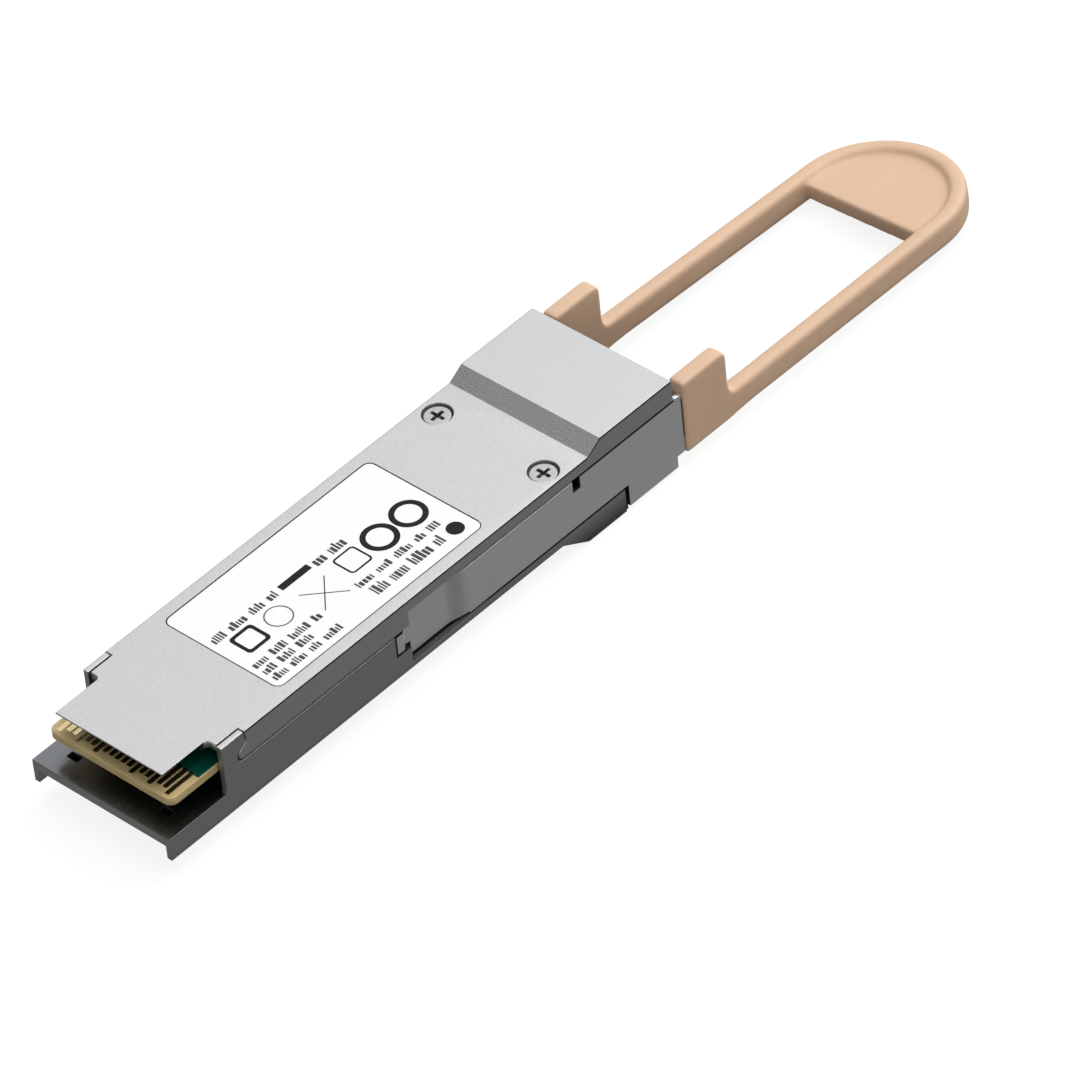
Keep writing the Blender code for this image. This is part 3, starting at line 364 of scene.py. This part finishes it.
def gold_finish(name):
    """Hard gold plating on the card's contacts, with fine wipe marks along X."""
    gold = (0.93, 0.76, 0.46, 1)
    finish = Finish(name, gold, 0.2, 1.0)
    finish.soften(0.02 * MM)
    wipes = finish.noise(2500, 2.0, stretch=(0.08, 2, 1))
    finish.paint(finish.mix(finish.scaled(wipes, 0, 0.6), gold, (0.74, 0.54, 0.27, 1)))
    finish.rough(wipes, 0.16, 0.32)
    finish.bump(wipes, 0.0008 * MM)
    return finish.material


def resin_finish(name, colour):
    """Moulded chip resin, finely matte."""
    finish = Finish(name, colour, 0.5)
    specks = finish.noise(9000, 2.0)
    lighter = tuple(min(1, c * 1.6 + 0.01) for c in colour[:3]) + (1,)
    finish.paint(finish.mix(finish.scaled(specks, 0, 0.5), colour, lighter))
    finish.rough(specks, 0.45, 0.65)
    finish.bump(specks, 0.003 * MM)
    return finish.material


def clear_finish(name, colour):
    """Amber optical polymer."""
    finish = Finish(name, colour, 0.12, 0.0, Transmission_Weight=0.6, IOR=1.62)
    waves = finish.noise(800, 1.0)
    finish.paint(finish.mix(waves, colour, tuple(c * 0.8 for c in colour[:3]) + (1,)))
    finish.rough(waves, 0.08, 0.18)
    return finish.material


def pad_finish(name, colour):
    """Soft gap-filler, dull and slightly dimpled."""
    finish = Finish(name, colour, 0.8)
    dimples = finish.noise(1500, 3.0)
    finish.paint(finish.mix(dimples, colour, tuple(c * 0.8 for c in colour[:3]) + (1,)))
    finish.rough(dimples, 0.7, 0.9)
    finish.bump(dimples, 0.03 * MM)
    return finish.material


def floor_finish(name):
    """Seamless white paper on a light table."""
    paper = (0.2, 0.2, 0.2, 1)
    finish = Finish(name, paper, 0.9, 0.0, Specular_IOR_Level=0.0)
    finish.set("Emission Color", (1, 1, 1, 1))
    finish.set("Emission Strength", 0.86)
    fibres = finish.noise(400, 3.0)
    finish.paint(finish.mix(fibres, paper, (0.19, 0.19, 0.19, 1)))
    return finish.material


# Pieces

def add_piece(name, mesh, body, material, nodes=()):
    """A visual piece that rides on a body and may stand for CAD nodes."""
    thing = bpy.data.objects.new(name, mesh)
    bpy.context.scene.collection.objects.link(thing)
    mesh.materials.clear()
    mesh.materials.append(material)
    for face in mesh.polygons:
        face.material_index = 0
    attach(thing, body)
    if nodes:
        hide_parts(*nodes)
    return thing


SMOOTH_ANGLE = 25
BEVEL_ANGLE = 26
WELD_DISTANCE = 0.002 * MM
FLAT_ANGLE = 0.6


def mesh_of(shape, name, smooth_angle=SMOOTH_ANGLE):
    mesh = bpy.data.meshes.new(name)
    shape.to_mesh(mesh)
    shape.free()
    mesh.shade_smooth()
    mesh.set_sharp_from_angle(angle=math.radians(smooth_angle))
    return mesh


def cad_shape(node):
    """A CAD node's solid, welded, with the edges inside its flat faces dissolved."""
    shape = bmesh.new()
    shape.from_mesh(NODES[node].data)
    bmesh.ops.remove_doubles(shape, verts=shape.verts, dist=WELD_DISTANCE)
    bmesh.ops.dissolve_limit(
        shape, angle_limit=math.radians(FLAT_ANGLE), verts=shape.verts, edges=shape.edges)
    return shape


def softened(node, material, width, segments=2):
    """Stands for a CAD node with its shape and with rounded edges."""
    mesh = mesh_of(cad_shape(node), node + "_finished")
    thing = add_piece(node + "_finished", mesh, BODY_OF[node], material, [node])
    bevel = thing.modifiers.new("rounded_edges", "BEVEL")
    bevel.width = width
    bevel.segments = segments
    bevel.limit_method = "ANGLE"
    bevel.angle_limit = math.radians(BEVEL_ANGLE)
    bevel.use_clamp_overlap = False
    bevel.miter_outer = "MITER_ARC"
    bevel.loop_slide = False
    normals = thing.modifiers.new("flat_faces", "WEIGHTED_NORMAL")
    normals.keep_sharp = False
    normals.weight = 100
    return thing


# Boxes in mm, as x from the card-edge end, distance from the middle, and z

SEAT = ((0, 30.0), (0, 8.6), (2.65, 2.75))
WALL_TOPS = ((7.9, 12.3), (8.5, 9.2), (8.45, 8.55))
# The step face: a coarser grain, and a darker tone that is painted shade
STEP_FACE = ((60.2, 61.6), (0, 1.0), (8.9, 9.3))
# Faces in the following boxes are painted near-black: painted shadow in gaps, slots and windows, and
# under the cover's tongue and underside
BASE_PAINTED_SHADOWS = (
    ((2.0, 4.0), (5.0, 7.2), (1.8, 2.6)),  # slots in the floor
    ((31.7, 34.4), (7.85, 9.1), (2.5, 5.3)),  # release window
    ((33.8, 72.3), (7.85, 9.1), (-2.0, 6.75)),  # bed and sill of the slider
    ((57.3, 59.5), (6.8, 9.1), (4.9, 7.0)),  # opening behind the notch
)
SLIDER_PAINTED_SHADOWS = (
    ((57.0, 72.0), (8.6, 9.1), (5.5, 6.95)),  # top edge and notch
    ((65.1, 65.3), (0, 9.1), (-1.7, 1.2)),  # rear edge of the deep part
    ((31.9, 33.7), (8.0, 9.1), (5.05, 5.15)),  # top edge of the release tab
)
COVER_PAINTED_SHADOWS = (
    ((17.4, 46.7), (0, 7.85), (8.0, 8.45)),  # round the label
    ((1.9, 7.4), (0, 7.2), (7.5, 8.35)),  # under the tapered end of the tongue
    ((0, 72.0), (0, 9.0), (7.55, 7.65)),  # underside
)


def refinish(thing, material, boxes):
    """Gives the faces with their middles in any of the boxes another finish."""
    thing.data.materials.append(material)
    added = len(thing.data.materials) - 1
    for face in thing.data.polygons:
        place = ((face.center.x - REAR) / MM, abs(face.center.y) / MM, face.center.z / MM)
        for box in boxes:
            if all(low <= value <= high for value, (low, high) in zip(place, box)):
                face.material_index = added


RECESS_REACH = 0.95 * MM
RECESS_DEEPEST = 0.7 * MM
RECESS_SHALLOWEST = 0.02 * MM


def paint_recess_shade(thing, material):
    """Paints shade into a screw's cross recess: its walls and floor get a darker finish."""
    thing.data.materials.append(material)
    corners = [Vector(corner) for corner in thing.bound_box]
    middle = sum(corners, Vector()) / len(corners)
    top = max(corner.z for corner in corners)
    for face in thing.data.polygons:
        across = (face.center - middle).to_2d().length
        if across < RECESS_REACH and top - RECESS_DEEPEST < face.center.z < top - RECESS_SHALLOWEST:
            face.material_index = 1


def remeshed(node, material, voxel, passes):
    """Stands for a soft-edged moulding: its solid, remeshed finely and smoothed."""
    mesh = mesh_of(cad_shape(node), node + "_finished")
    thing = add_piece(node + "_finished", mesh, BODY_OF[node], material, [node])
    grid = thing.modifiers.new("grid", "REMESH")
    grid.mode = "VOXEL"
    grid.voxel_size = voxel
    grid.use_smooth_shade = True
    smooth = thing.modifiers.new("soft_edges", "SMOOTH")
    smooth.factor = 0.5
    smooth.iterations = passes
    return thing


def prism(shape, outline, low, high):
    """Adds an outline in XY, extruded in Z, to a shape."""
    bottom = [shape.verts.new((x, y, low)) for x, y in outline]
    top = [shape.verts.new((x, y, high)) for x, y in outline]
    faces = [shape.faces.new(bottom[::-1]), shape.faces.new(top)]
    for index in range(len(outline)):
        after = (index + 1) % len(outline)
        faces.append(shape.faces.new((bottom[index], bottom[after], top[after], top[index])))
    bmesh.ops.recalc_face_normals(shape, faces=faces)


def rounded_box(x_range, y_range, radius, steps=5):
    """The outline of a rectangle with rounded corners."""
    outline = []
    corners = [(x_range[1], y_range[1], 0), (x_range[0], y_range[1], 90),
               (x_range[0], y_range[0], 180), (x_range[1], y_range[0], 270)]
    for x, y, turn in corners:
        centre_x = x - radius if turn in (0, 270) else x + radius
        centre_y = y - radius if turn in (0, 90) else y + radius
        for step in range(steps + 1):
            angle = math.radians(turn + 90 * step / steps)
            outline.append((centre_x + radius * math.cos(angle), centre_y + radius * math.sin(angle)))
    return outline


def frame_shape(shape, outer, inner, low, high):
    """Adds a flat band between two outlines with the same number of points."""
    count = len(outer)
    out_low, out_high, in_low, in_high = (
        [shape.verts.new((x, y, z)) for x, y in ring] for ring in (outer, inner) for z in (low, high))
    faces = []
    for index in range(count):
        after = (index + 1) % count
        for a, b in ((out_low, out_high), (out_high, in_high), (in_high, in_low), (in_low, out_low)):
            faces.append(shape.faces.new((a[index], a[after], b[after], b[index])))
    bmesh.ops.recalc_face_normals(shape, faces=faces)


def station(x_mm):
    """World X of a distance from the card-edge end of the housing."""
    return REAR + x_mm * MM


def circle(centre, radius, steps=40):
    points = []
    for step in range(steps):
        angle = math.tau * step / steps
        points.append((centre[0] + radius * math.cos(angle), centre[1] + radius * math.sin(angle)))
    return points


# The cover's top profile as (x, z) in mm, and the painted shadow line along its sides

COVER_PROFILE = ((11.05, 8.47), (59.96, 8.47), (61.87, 9.67), (72.3, 9.67))
SHADOW_LINE_WIDTH = 0.17
SHADOW_LINE_INNER = 9.15 * MM
SHADOW_LINE_OUTER = 9.2 * MM


def edge_shadow_lines(material):
    """Painted shadow: thin dark strips just under the cover's top edges."""
    shape = bmesh.new()
    upper = [(station(x), z * MM) for x, z in COVER_PROFILE]
    lower = [(x, z - SHADOW_LINE_WIDTH * MM) for x, z in reversed(upper)]
    for side in (-1, 1):
        near = [shape.verts.new((x, SHADOW_LINE_INNER * side, z)) for x, z in upper + lower]
        far = [shape.verts.new((x, SHADOW_LINE_OUTER * side, z)) for x, z in upper + lower]
        faces = [shape.faces.new(near), shape.faces.new(far[::-1])]
        for index in range(len(near)):
            after = (index + 1) % len(near)
            faces.append(shape.faces.new((near[after], near[index], far[index], far[after])))
        bmesh.ops.recalc_face_normals(shape, faces=faces)
    add_piece("cover_edge_shadow_lines", mesh_of(shape, "cover_edge_shadow_lines"), "housing", material)


# The painted shadow block in the gap ahead of the bump: x in mm from the card-edge end, the rest in
# metres
BUMP_SHADOW_X = (64.6, 65.1)
BUMP_SHADOW_HALF_WIDTH = 9.0 * MM
BUMP_SHADOW_Z = (-1.95 * MM, 0.0)
BUMP_SHADOW_CORNER = 0.1 * MM


def bump_gap_shadow(material):
    """Painted shadow: a near-black block in the gap ahead of the bump."""
    shape = bmesh.new()
    x_range = tuple(station(x) for x in BUMP_SHADOW_X)
    prism(shape, rounded_box(x_range, (-BUMP_SHADOW_HALF_WIDTH, BUMP_SHADOW_HALF_WIDTH), BUMP_SHADOW_CORNER, 3), *BUMP_SHADOW_Z)
    add_piece("bump_gap_shadow", mesh_of(shape, "bump_gap_shadow"), "housing", material)


SPRING_SMOOTH_ANGLE = 45


def return_springs(material):
    """The two coil springs, each given a mesh of its own. The real springs shorten towards their front
    ends as the slider is pulled out.
    """
    for node in ("return_spring_left", "return_spring_right"):
        mesh = mesh_of(cad_shape(node), node + "_finished", SPRING_SMOOTH_ANGLE)
        thing = add_piece(node + "_finished", mesh, BODY_OF[node], material, [node])
        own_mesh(thing)


# The painted shade strip on each sill: x in mm from the card-edge end, the rest in metres
SILL_SHADE_X = (34.0, 44.5)
SILL_SHADE_Y = (8.78 * MM, 9.17 * MM)
SILL_SHADE_Z = (0.88 * MM, 0.94 * MM)
SILL_SHADE_CORNER = 0.04 * MM


def sill_shade_strips(material):
    """Painted shade: a dull dark strip over the outer edge of the sill under each latch pocket."""
    shape = bmesh.new()
    x_range = tuple(station(x) for x in SILL_SHADE_X)
    for side in (-1, 1):
        y_range = sorted(y * side for y in SILL_SHADE_Y)
        prism(shape, rounded_box(x_range, y_range, SILL_SHADE_CORNER, 2), *SILL_SHADE_Z)
    add_piece("sill_shade_strips", mesh_of(shape, "sill_shade_strips"), "housing", material)


# Label print: plain bars and shapes, with no lettering and no marks that mean anything

PRINT_ROWS = (
    # start x, end x, middle y, height, longest word
    (33.0, 42.6, -5.65, 1.45, 3.4),
    (32.6, 44.2, -3.85, 0.95, 2.4),
    (18.2, 27.4, -3.70, 1.0, 2.6),
    (18.2, 25.2, -5.05, 1.0, 2.6),
    (18.2, 27.6, -6.35, 1.0, 2.6),
    (18.3, 26.9, 1.85, 1.1, 2.7),
    (32.4, 36.4, 1.75, 1.3, 2.2),
)
PRINT_HEIGHT = 0.012 * MM
PRINT_SINK = 0.002 * MM
PRINT_SEED = 28
STROKE_GAP = 0.14
STROKE_WIDTHS = (0.18, 0.26, 0.38)
STROKE_HEIGHTS = (0.72, 0.72, 1.0)
STROKE_CORNER = 0.05 * MM
WORD_GAP = 0.6
SHORTEST_WORD = 0.45
BAR = ((27.8, 31.9), (1.45, 2.3), 0.08)  # x range, y range, corner
RINGS = (((43.3, -0.7), 2.0, 1.38), ((39.1, -0.8), 2.0, 1.38))  # centre, outer and inner radius
FRAMES = (((35.1, -0.9), 1.5, 0.22), ((20.9, -0.7), 1.55, 0.42))  # centre, half side, stroke
FRAME_CORNERS = (0.5, 0.3)
DISC = ((44.5, -5.8), 0.95)
FINE_RING = ((24.9, -0.7), 1.5, 1.36)
CROSS_CENTRE = (30.0, -2.0)
CROSS_REACH = 2.5
CROSS_HALF_STROKE = 0.06


def on_label(point):
    """World X and Y of a point in mm, from the card-edge end and from the middle."""
    return station(point[0]), point[1] * MM


def print_row(shape, chance, row, low, high):
    """A row of uneven upright strokes, gathered in groups as in a line of small print."""
    x, end, middle, height, longest = row
    while x < end:
        word_end = min(end, x + chance.uniform(SHORTEST_WORD, 1.0) * longest)
        while x < word_end:
            width = chance.choice(STROKE_WIDTHS)
            tall = height * chance.choice(STROKE_HEIGHTS)
            base = (middle - height / 2) * MM
            x_range = (station(x), station(x + width))
            prism(shape, rounded_box(x_range, (base, base + tall * MM), STROKE_CORNER, 2), low, high)
            x += width + STROKE_GAP
        x += WORD_GAP


def print_ring(shape, ring, low, high):
    centre, outer, inner = ring
    place = on_label(centre)
    frame_shape(shape, circle(place, outer * MM), circle(place, inner * MM), low, high)


def print_frame(shape, frame_mark, low, high):
    (x, y), half, stroke = frame_mark
    outlines = []
    for reach, corner in zip((half, half - stroke), FRAME_CORNERS):
        x_range = (station(x - reach), station(x + reach))
        outlines.append(rounded_box(x_range, ((y - reach) * MM, (y + reach) * MM), corner * MM))
    frame_shape(shape, *outlines, low, high)


def print_cross(shape, low, high):
    middle = Vector(on_label(CROSS_CENTRE))
    for turn in (45, 135):
        direction = Vector((math.cos(math.radians(turn)), math.sin(math.radians(turn))))
        across = Vector((-direction.y, direction.x)) * CROSS_HALF_STROKE * MM
        reach = direction * CROSS_REACH * MM
        corners = (-reach - across, reach - across, reach + across, -reach + across)
        prism(shape, [tuple(middle + corner) for corner in corners], low, high)


def label_print(material, grey):
    """Everything printed on the label, in two inks."""
    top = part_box("rating_label")[1].z
    low, high = top - PRINT_SINK, top + PRINT_HEIGHT
    chance = random.Random(PRINT_SEED)
    shape = bmesh.new()
    bar_x, bar_y, bar_corner = BAR
    bar = rounded_box([station(x) for x in bar_x], [y * MM for y in bar_y], bar_corner * MM)
    prism(shape, bar, low, high)
    for ring in RINGS:
        print_ring(shape, ring, low, high)
    for frame_mark in FRAMES:
        print_frame(shape, frame_mark, low, high)
    prism(shape, circle(on_label(DISC[0]), DISC[1] * MM), low, high)
    add_piece("label_print_marks", mesh_of(shape, "label_print_marks"), "housing", material)
    shape = bmesh.new()
    for row in PRINT_ROWS:
        print_row(shape, chance, row, low, high)
    print_ring(shape, FINE_RING, low, high)
    print_cross(shape, low, high)
    add_piece("label_print_rows", mesh_of(shape, "label_print_rows"), "housing", grey)


# Card: laminate core, solder mask and separate gold contacts

CONTACTS = 19
CONTACT_PITCH = 0.8
CONTACT_WIDTH = 0.56
CONTACT_START = 0.45
SIGNAL_SETBACK = 0.55
GROUND_CONTACTS = (0, 3, 6, 12, 15, 18)
CONTACT_HEIGHT = 0.02 * MM
CONTACT_OVERLAP = 0.3
CONTACT_CORNER = 0.1 * MM
SINK = 0.2
MASK_START = 3.9
MASK_HEIGHT = 0.015 * MM
MASK_INSET = 0.12 * MM
MASK_NARROW = 7.1 * MM
MASK_NARROWS_X = 29.9
NOTCH_X = (13.9, 15.7)
NOTCH_DEPTH = 0.8 * MM
CARD_EDGE_RADIUS = 0.09 * MM


def mask_outline(low, high):
    """The solder mask's outline: short of the contacts, with the card's notches and its narrow end."""
    start = low.x + MASK_START * MM
    half = high.y - MASK_INSET
    notch_start, notch_end = (station(x) for x in NOTCH_X)
    turn = station(MASK_NARROWS_X)
    front = high.x - MASK_INSET
    near_side = [
        (start, -half), (notch_start, -half), (notch_start, NOTCH_DEPTH - half),
        (notch_end, NOTCH_DEPTH - half), (notch_end, -half), (turn, -half), (turn, -MASK_NARROW),
        (front, -MASK_NARROW),
    ]
    return near_side + [(x, -y) for x, y in reversed(near_side)]


def card(core, mask, gold):
    """The card's core, and on both sides its solder mask and its row of contacts."""
    low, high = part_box("circuit_board")
    body = BODY_OF["circuit_board"]
    softened("circuit_board", core, CARD_EDGE_RADIUS, 1)
    shape = bmesh.new()
    for side in (low.z, high.z):
        prism(shape, mask_outline(low, high), *raised(side, side == high.z, MASK_HEIGHT))
    add_piece("card_solder_mask", mesh_of(shape, "card_solder_mask"), body, mask)
    shape = bmesh.new()
    half = CONTACT_WIDTH / 2 * MM
    end = low.x + (MASK_START + CONTACT_OVERLAP) * MM
    for side in (low.z, high.z):
        z_range = raised(side, side == high.z, CONTACT_HEIGHT)
        for number in range(CONTACTS):
            middle = (number - (CONTACTS - 1) / 2) * CONTACT_PITCH * MM
            setback = 0 if number in GROUND_CONTACTS else SIGNAL_SETBACK
            x_range = (low.x + (CONTACT_START + setback) * MM, end)
            outline = rounded_box(x_range, (middle - half, middle + half), CONTACT_CORNER, 3)
            prism(shape, outline, *z_range)
    add_piece("card_contacts", mesh_of(shape, "card_contacts"), body, gold)


def raised(face_z, upward, height):
    """The Z range of a thin layer on a face of the card, sunk in a little."""
    out = height if upward else -height
    return sorted((face_z - out * SINK, face_z + out))


# Stage

FLOOR_REACH = 1.6
FLOOR_GAP = 0.01 * MM
FLOOR_CENTRE_X = 0.02


def add_floor(material):
    """A pale floor just under the module, kept out of its reflections."""
    shape = bmesh.new()
    bmesh.ops.create_grid(shape, x_segments=8, y_segments=8, size=FLOOR_REACH)
    mesh = mesh_of(shape, "floor")
    thing = bpy.data.objects.new("floor", mesh)
    bpy.context.scene.collection.objects.link(thing)
    thing.location = (FLOOR_CENTRE_X, 0, min(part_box(node)[0].z for node in NODES) - FLOOR_GAP)
    mesh.materials.append(material)
    thing.visible_glossy = False
    thing.visible_diffuse = False


LIGHT_TARGET = Vector((0.01, 0, 0.005))
LIGHT_DISTANCE = 2.0
LIGHTS = (
    # name, direction, size, power
    ("front_light", (0.85, -0.12, 0.60), (2.2, 2.2), 30.0),
    ("top_light", (0.15, -0.12, 1.0), (2.6, 2.6), 23.5),
    ("side_fill", (-0.3, -0.9, 0.18), (1.6, 0.8), 8.0),
    ("rear_fill", (-0.95, 0.05, 0.25), (1.0, 0.6), 6.0),
)


def add_softbox(name, direction, size, power):
    data = bpy.data.lights.new(name, "AREA")
    data.shape = "RECTANGLE"
    data.size, data.size_y = size
    data.energy = power
    thing = bpy.data.objects.new(name, data)
    bpy.context.scene.collection.objects.link(thing)
    towards = Vector(direction).normalized()
    thing.location = LIGHT_TARGET + towards * LIGHT_DISTANCE
    thing.rotation_euler = (-towards).to_track_quat("-Z", "Y").to_euler()


KEY_DIRECTION = Vector((0.51, 0.54, 0.67)).normalized()
WORLD_STOPS = (
    # from opposite the key direction, 0, to along it, 1; then the brightness there
    (0.0, 0.06), (0.12, 0.09), (0.26, 0.185), (0.5, 0.19), (0.8, 0.13), (0.93, 0.56), (1.0, 0.78),
)


def add_world():
    """A soft studio surround, brightest far to the right and darkest behind the camera."""
    world = bpy.data.worlds.new("studio")
    bpy.context.scene.world = world
    world.use_nodes = True
    tree = world.node_tree
    background = tree.nodes["Background"]
    where = tree.nodes.new("ShaderNodeTexCoord")
    along = tree.nodes.new("ShaderNodeVectorMath")
    along.operation = "DOT_PRODUCT"
    along.inputs[1].default_value = KEY_DIRECTION
    ramp = tree.nodes.new("ShaderNodeValToRGB")
    spread = tree.nodes.new("ShaderNodeMapRange")
    spread.inputs["From Min"].default_value = -1
    spread.inputs["From Max"].default_value = 1
    tree.links.new(where.outputs["Generated"], along.inputs[0])
    tree.links.new(along.outputs["Value"], spread.inputs["Value"])
    tree.links.new(spread.outputs["Result"], ramp.inputs["Fac"])
    tree.links.new(ramp.outputs["Color"], background.inputs["Color"])
    elements = ramp.color_ramp.elements
    while len(elements) < len(WORLD_STOPS):
        elements.new(0.5)
    for element, (position, value) in zip(elements, WORLD_STOPS):
        element.position = position
        element.color = (value, value, value, 1)


# Widths of the rounded edges, and the grid that the tab is remeshed on

CAST_EDGE = 0.04 * MM
SHEET_EDGE = 0.03 * MM
SCREW_EDGE = 0.05 * MM
PIN_EDGE = 0.12 * MM
LABEL_EDGE = 0.02 * MM
PORT_EDGE = 0.12 * MM
HOOK_EDGE = 0.06 * MM
FERRULE_EDGE = 0.08 * MM
TAB_VOXEL = 0.16 * MM
TAB_PASSES = 20


def build():
    """The whole scene: the camera, every finished piece, the floor and the lights."""
    add_camera()
    bpy.context.scene.view_settings.view_transform = "Standard"
    cast = cast_finish("cast_satin", grain=0.5)
    # A darker copy of the cast finish for the base: painted shade on its sides, deepening towards the
    # underside
    cast_shaded = cast_finish("cast_satin_shaded", shade=0.55, grain=0.8, painted_low_shade=True)
    sheet = sheet_finish("sheet_steel")
    screw = turned_finish("screw_steel", 0.6, 0.3)
    spring = turned_finish("spring_wire", 0.55, 0.3)
    pin = turned_finish("pin_steel", 0.7, 0.16)
    beige = moulded_finish(
        "tab_beige", (0.76, 0.525, 0.36, 1), (0.66, 0.435, 0.285, 1), 0.48, subsurface=0.12)
    black = moulded_finish("port_black", (0.012, 0.012, 0.013, 1), (0.02, 0.02, 0.022, 1), 0.38, 0.006)
    hook = moulded_finish("hook_black", (0.02, 0.02, 0.021, 1), (0.03, 0.03, 0.03, 1), 0.34, 0.004)
    ferrule = moulded_finish(
        "ferrule_grey", (0.06, 0.06, 0.065, 1), (0.09, 0.09, 0.095, 1), 0.3, 0.004, scale=7000)
    ribbon = moulded_finish("ribbon_aqua", (0.08, 0.42, 0.47, 1), (0.05, 0.33, 0.38, 1), 0.35, 0.002)
    gasket = pad_finish("gasket_grey", (0.045, 0.045, 0.048, 1))
    pad = pad_finish("thermal_pad", (0.30, 0.40, 0.52, 1))
    resin = resin_finish("chip_resin", (0.018, 0.018, 0.02, 1))
    die = resin_finish("die_silicon", (0.12, 0.13, 0.17, 1))
    ceramic = resin_finish("capacitor_ceramic", (0.27, 0.15, 0.07, 1))
    lid = turned_finish("clock_lid", 0.6, 0.3, 5000)
    lens = clear_finish("lens_amber", (0.85, 0.55, 0.2, 1))
    label = label_finish("label_white")
    ink = ink_finish("ink_black", (0.012, 0.010, 0.010, 1))
    grey_ink = ink_finish("ink_grey", (0.07, 0.065, 0.065, 1))
    base = softened("base_shell", cast_shaded, CAST_EDGE, 1)
    # Near-black painted shadow for the insides of gaps, slots and windows
    gap = painted_shadow_finish("gap_painted_shadow")
    refinish(base, machined_finish("milled_seat"), [SEAT])
    refinish(base, gap, BASE_PAINTED_SHADOWS)
    # The base's wall tops keep the lighter cover finish, so that the painted shade stays on its sides
    refinish(base, cast, [WALL_TOPS])
    cover = softened("cover_shell", cast, CAST_EDGE, 1)
    refinish(cover, gap, COVER_PAINTED_SHADOWS)
    # Coarser grain on the step, and a darker tone there as painted shade
    refinish(cover, cast_finish("cast_satin_step_shaded", shade=0.55, grain=1.5), [STEP_FACE])
    slider = softened("delatch_slider", sheet, SHEET_EDGE, 1)
    refinish(slider, gap, SLIDER_PAINTED_SHADOWS)
    # Painted shadow lines along the cover's top edges
    edge_shadow_lines(gap)
    bump_gap_shadow(gap)
    # A dull dark strip painted as shade on each sill
    sill_shade_strips(resin_finish("sill_painted_shade", (0.055, 0.055, 0.057, 1)))
    remeshed("pull_tab", beige, TAB_VOXEL, TAB_PASSES)
    # A darker finish painted into the screws' cross recesses as shade
    recess = turned_finish("screw_recess_shade", 0.16, 0.4)
    for side in ("left", "right"):
        head = softened("cover_screw_" + side, screw, SCREW_EDGE, 1)
        paint_recess_shade(head, recess)
        softened("guide_pin_" + side, pin, PIN_EDGE)
    softened("rating_label", label, LABEL_EDGE, 1)
    softened("optical_receptacle", black, PORT_EDGE)
    softened("latch_hooks", hook, HOOK_EDGE)
    softened("mt_ferrule", ferrule, FERRULE_EDGE)
    label_print(ink, grey_ink)
    card(laminate_finish("laminate"), mask_finish("solder_mask"), gold_finish("contact_gold"))
    return_springs(spring)
    plain = {
        "pin_clamp": ferrule, "fibre_ribbon": ribbon, "lens_block": lens,
        "laser_array": die, "photodiode_array": die, "laser_driver": die, "receiver_amplifier": die,
        "transmit_retimer": resin, "receive_retimer": resin, "microcontroller": resin,
        "reference_clock": lid, "power_inductor": resin,
        "thermal_pad_retimers": pad, "thermal_pad_optics": pad, "emi_gasket": gasket,
    }
    for node in NODES:
        if node.startswith("bulk_capacitor"):
            plain[node] = ceramic
    for node, material in plain.items():
        for index in range(len(NODES[node].data.materials)):
            NODES[node].data.materials[index] = material
    add_floor(floor_finish("paper_white"))
    add_world()
    for light in LIGHTS:
        add_softbox(*light)


build()
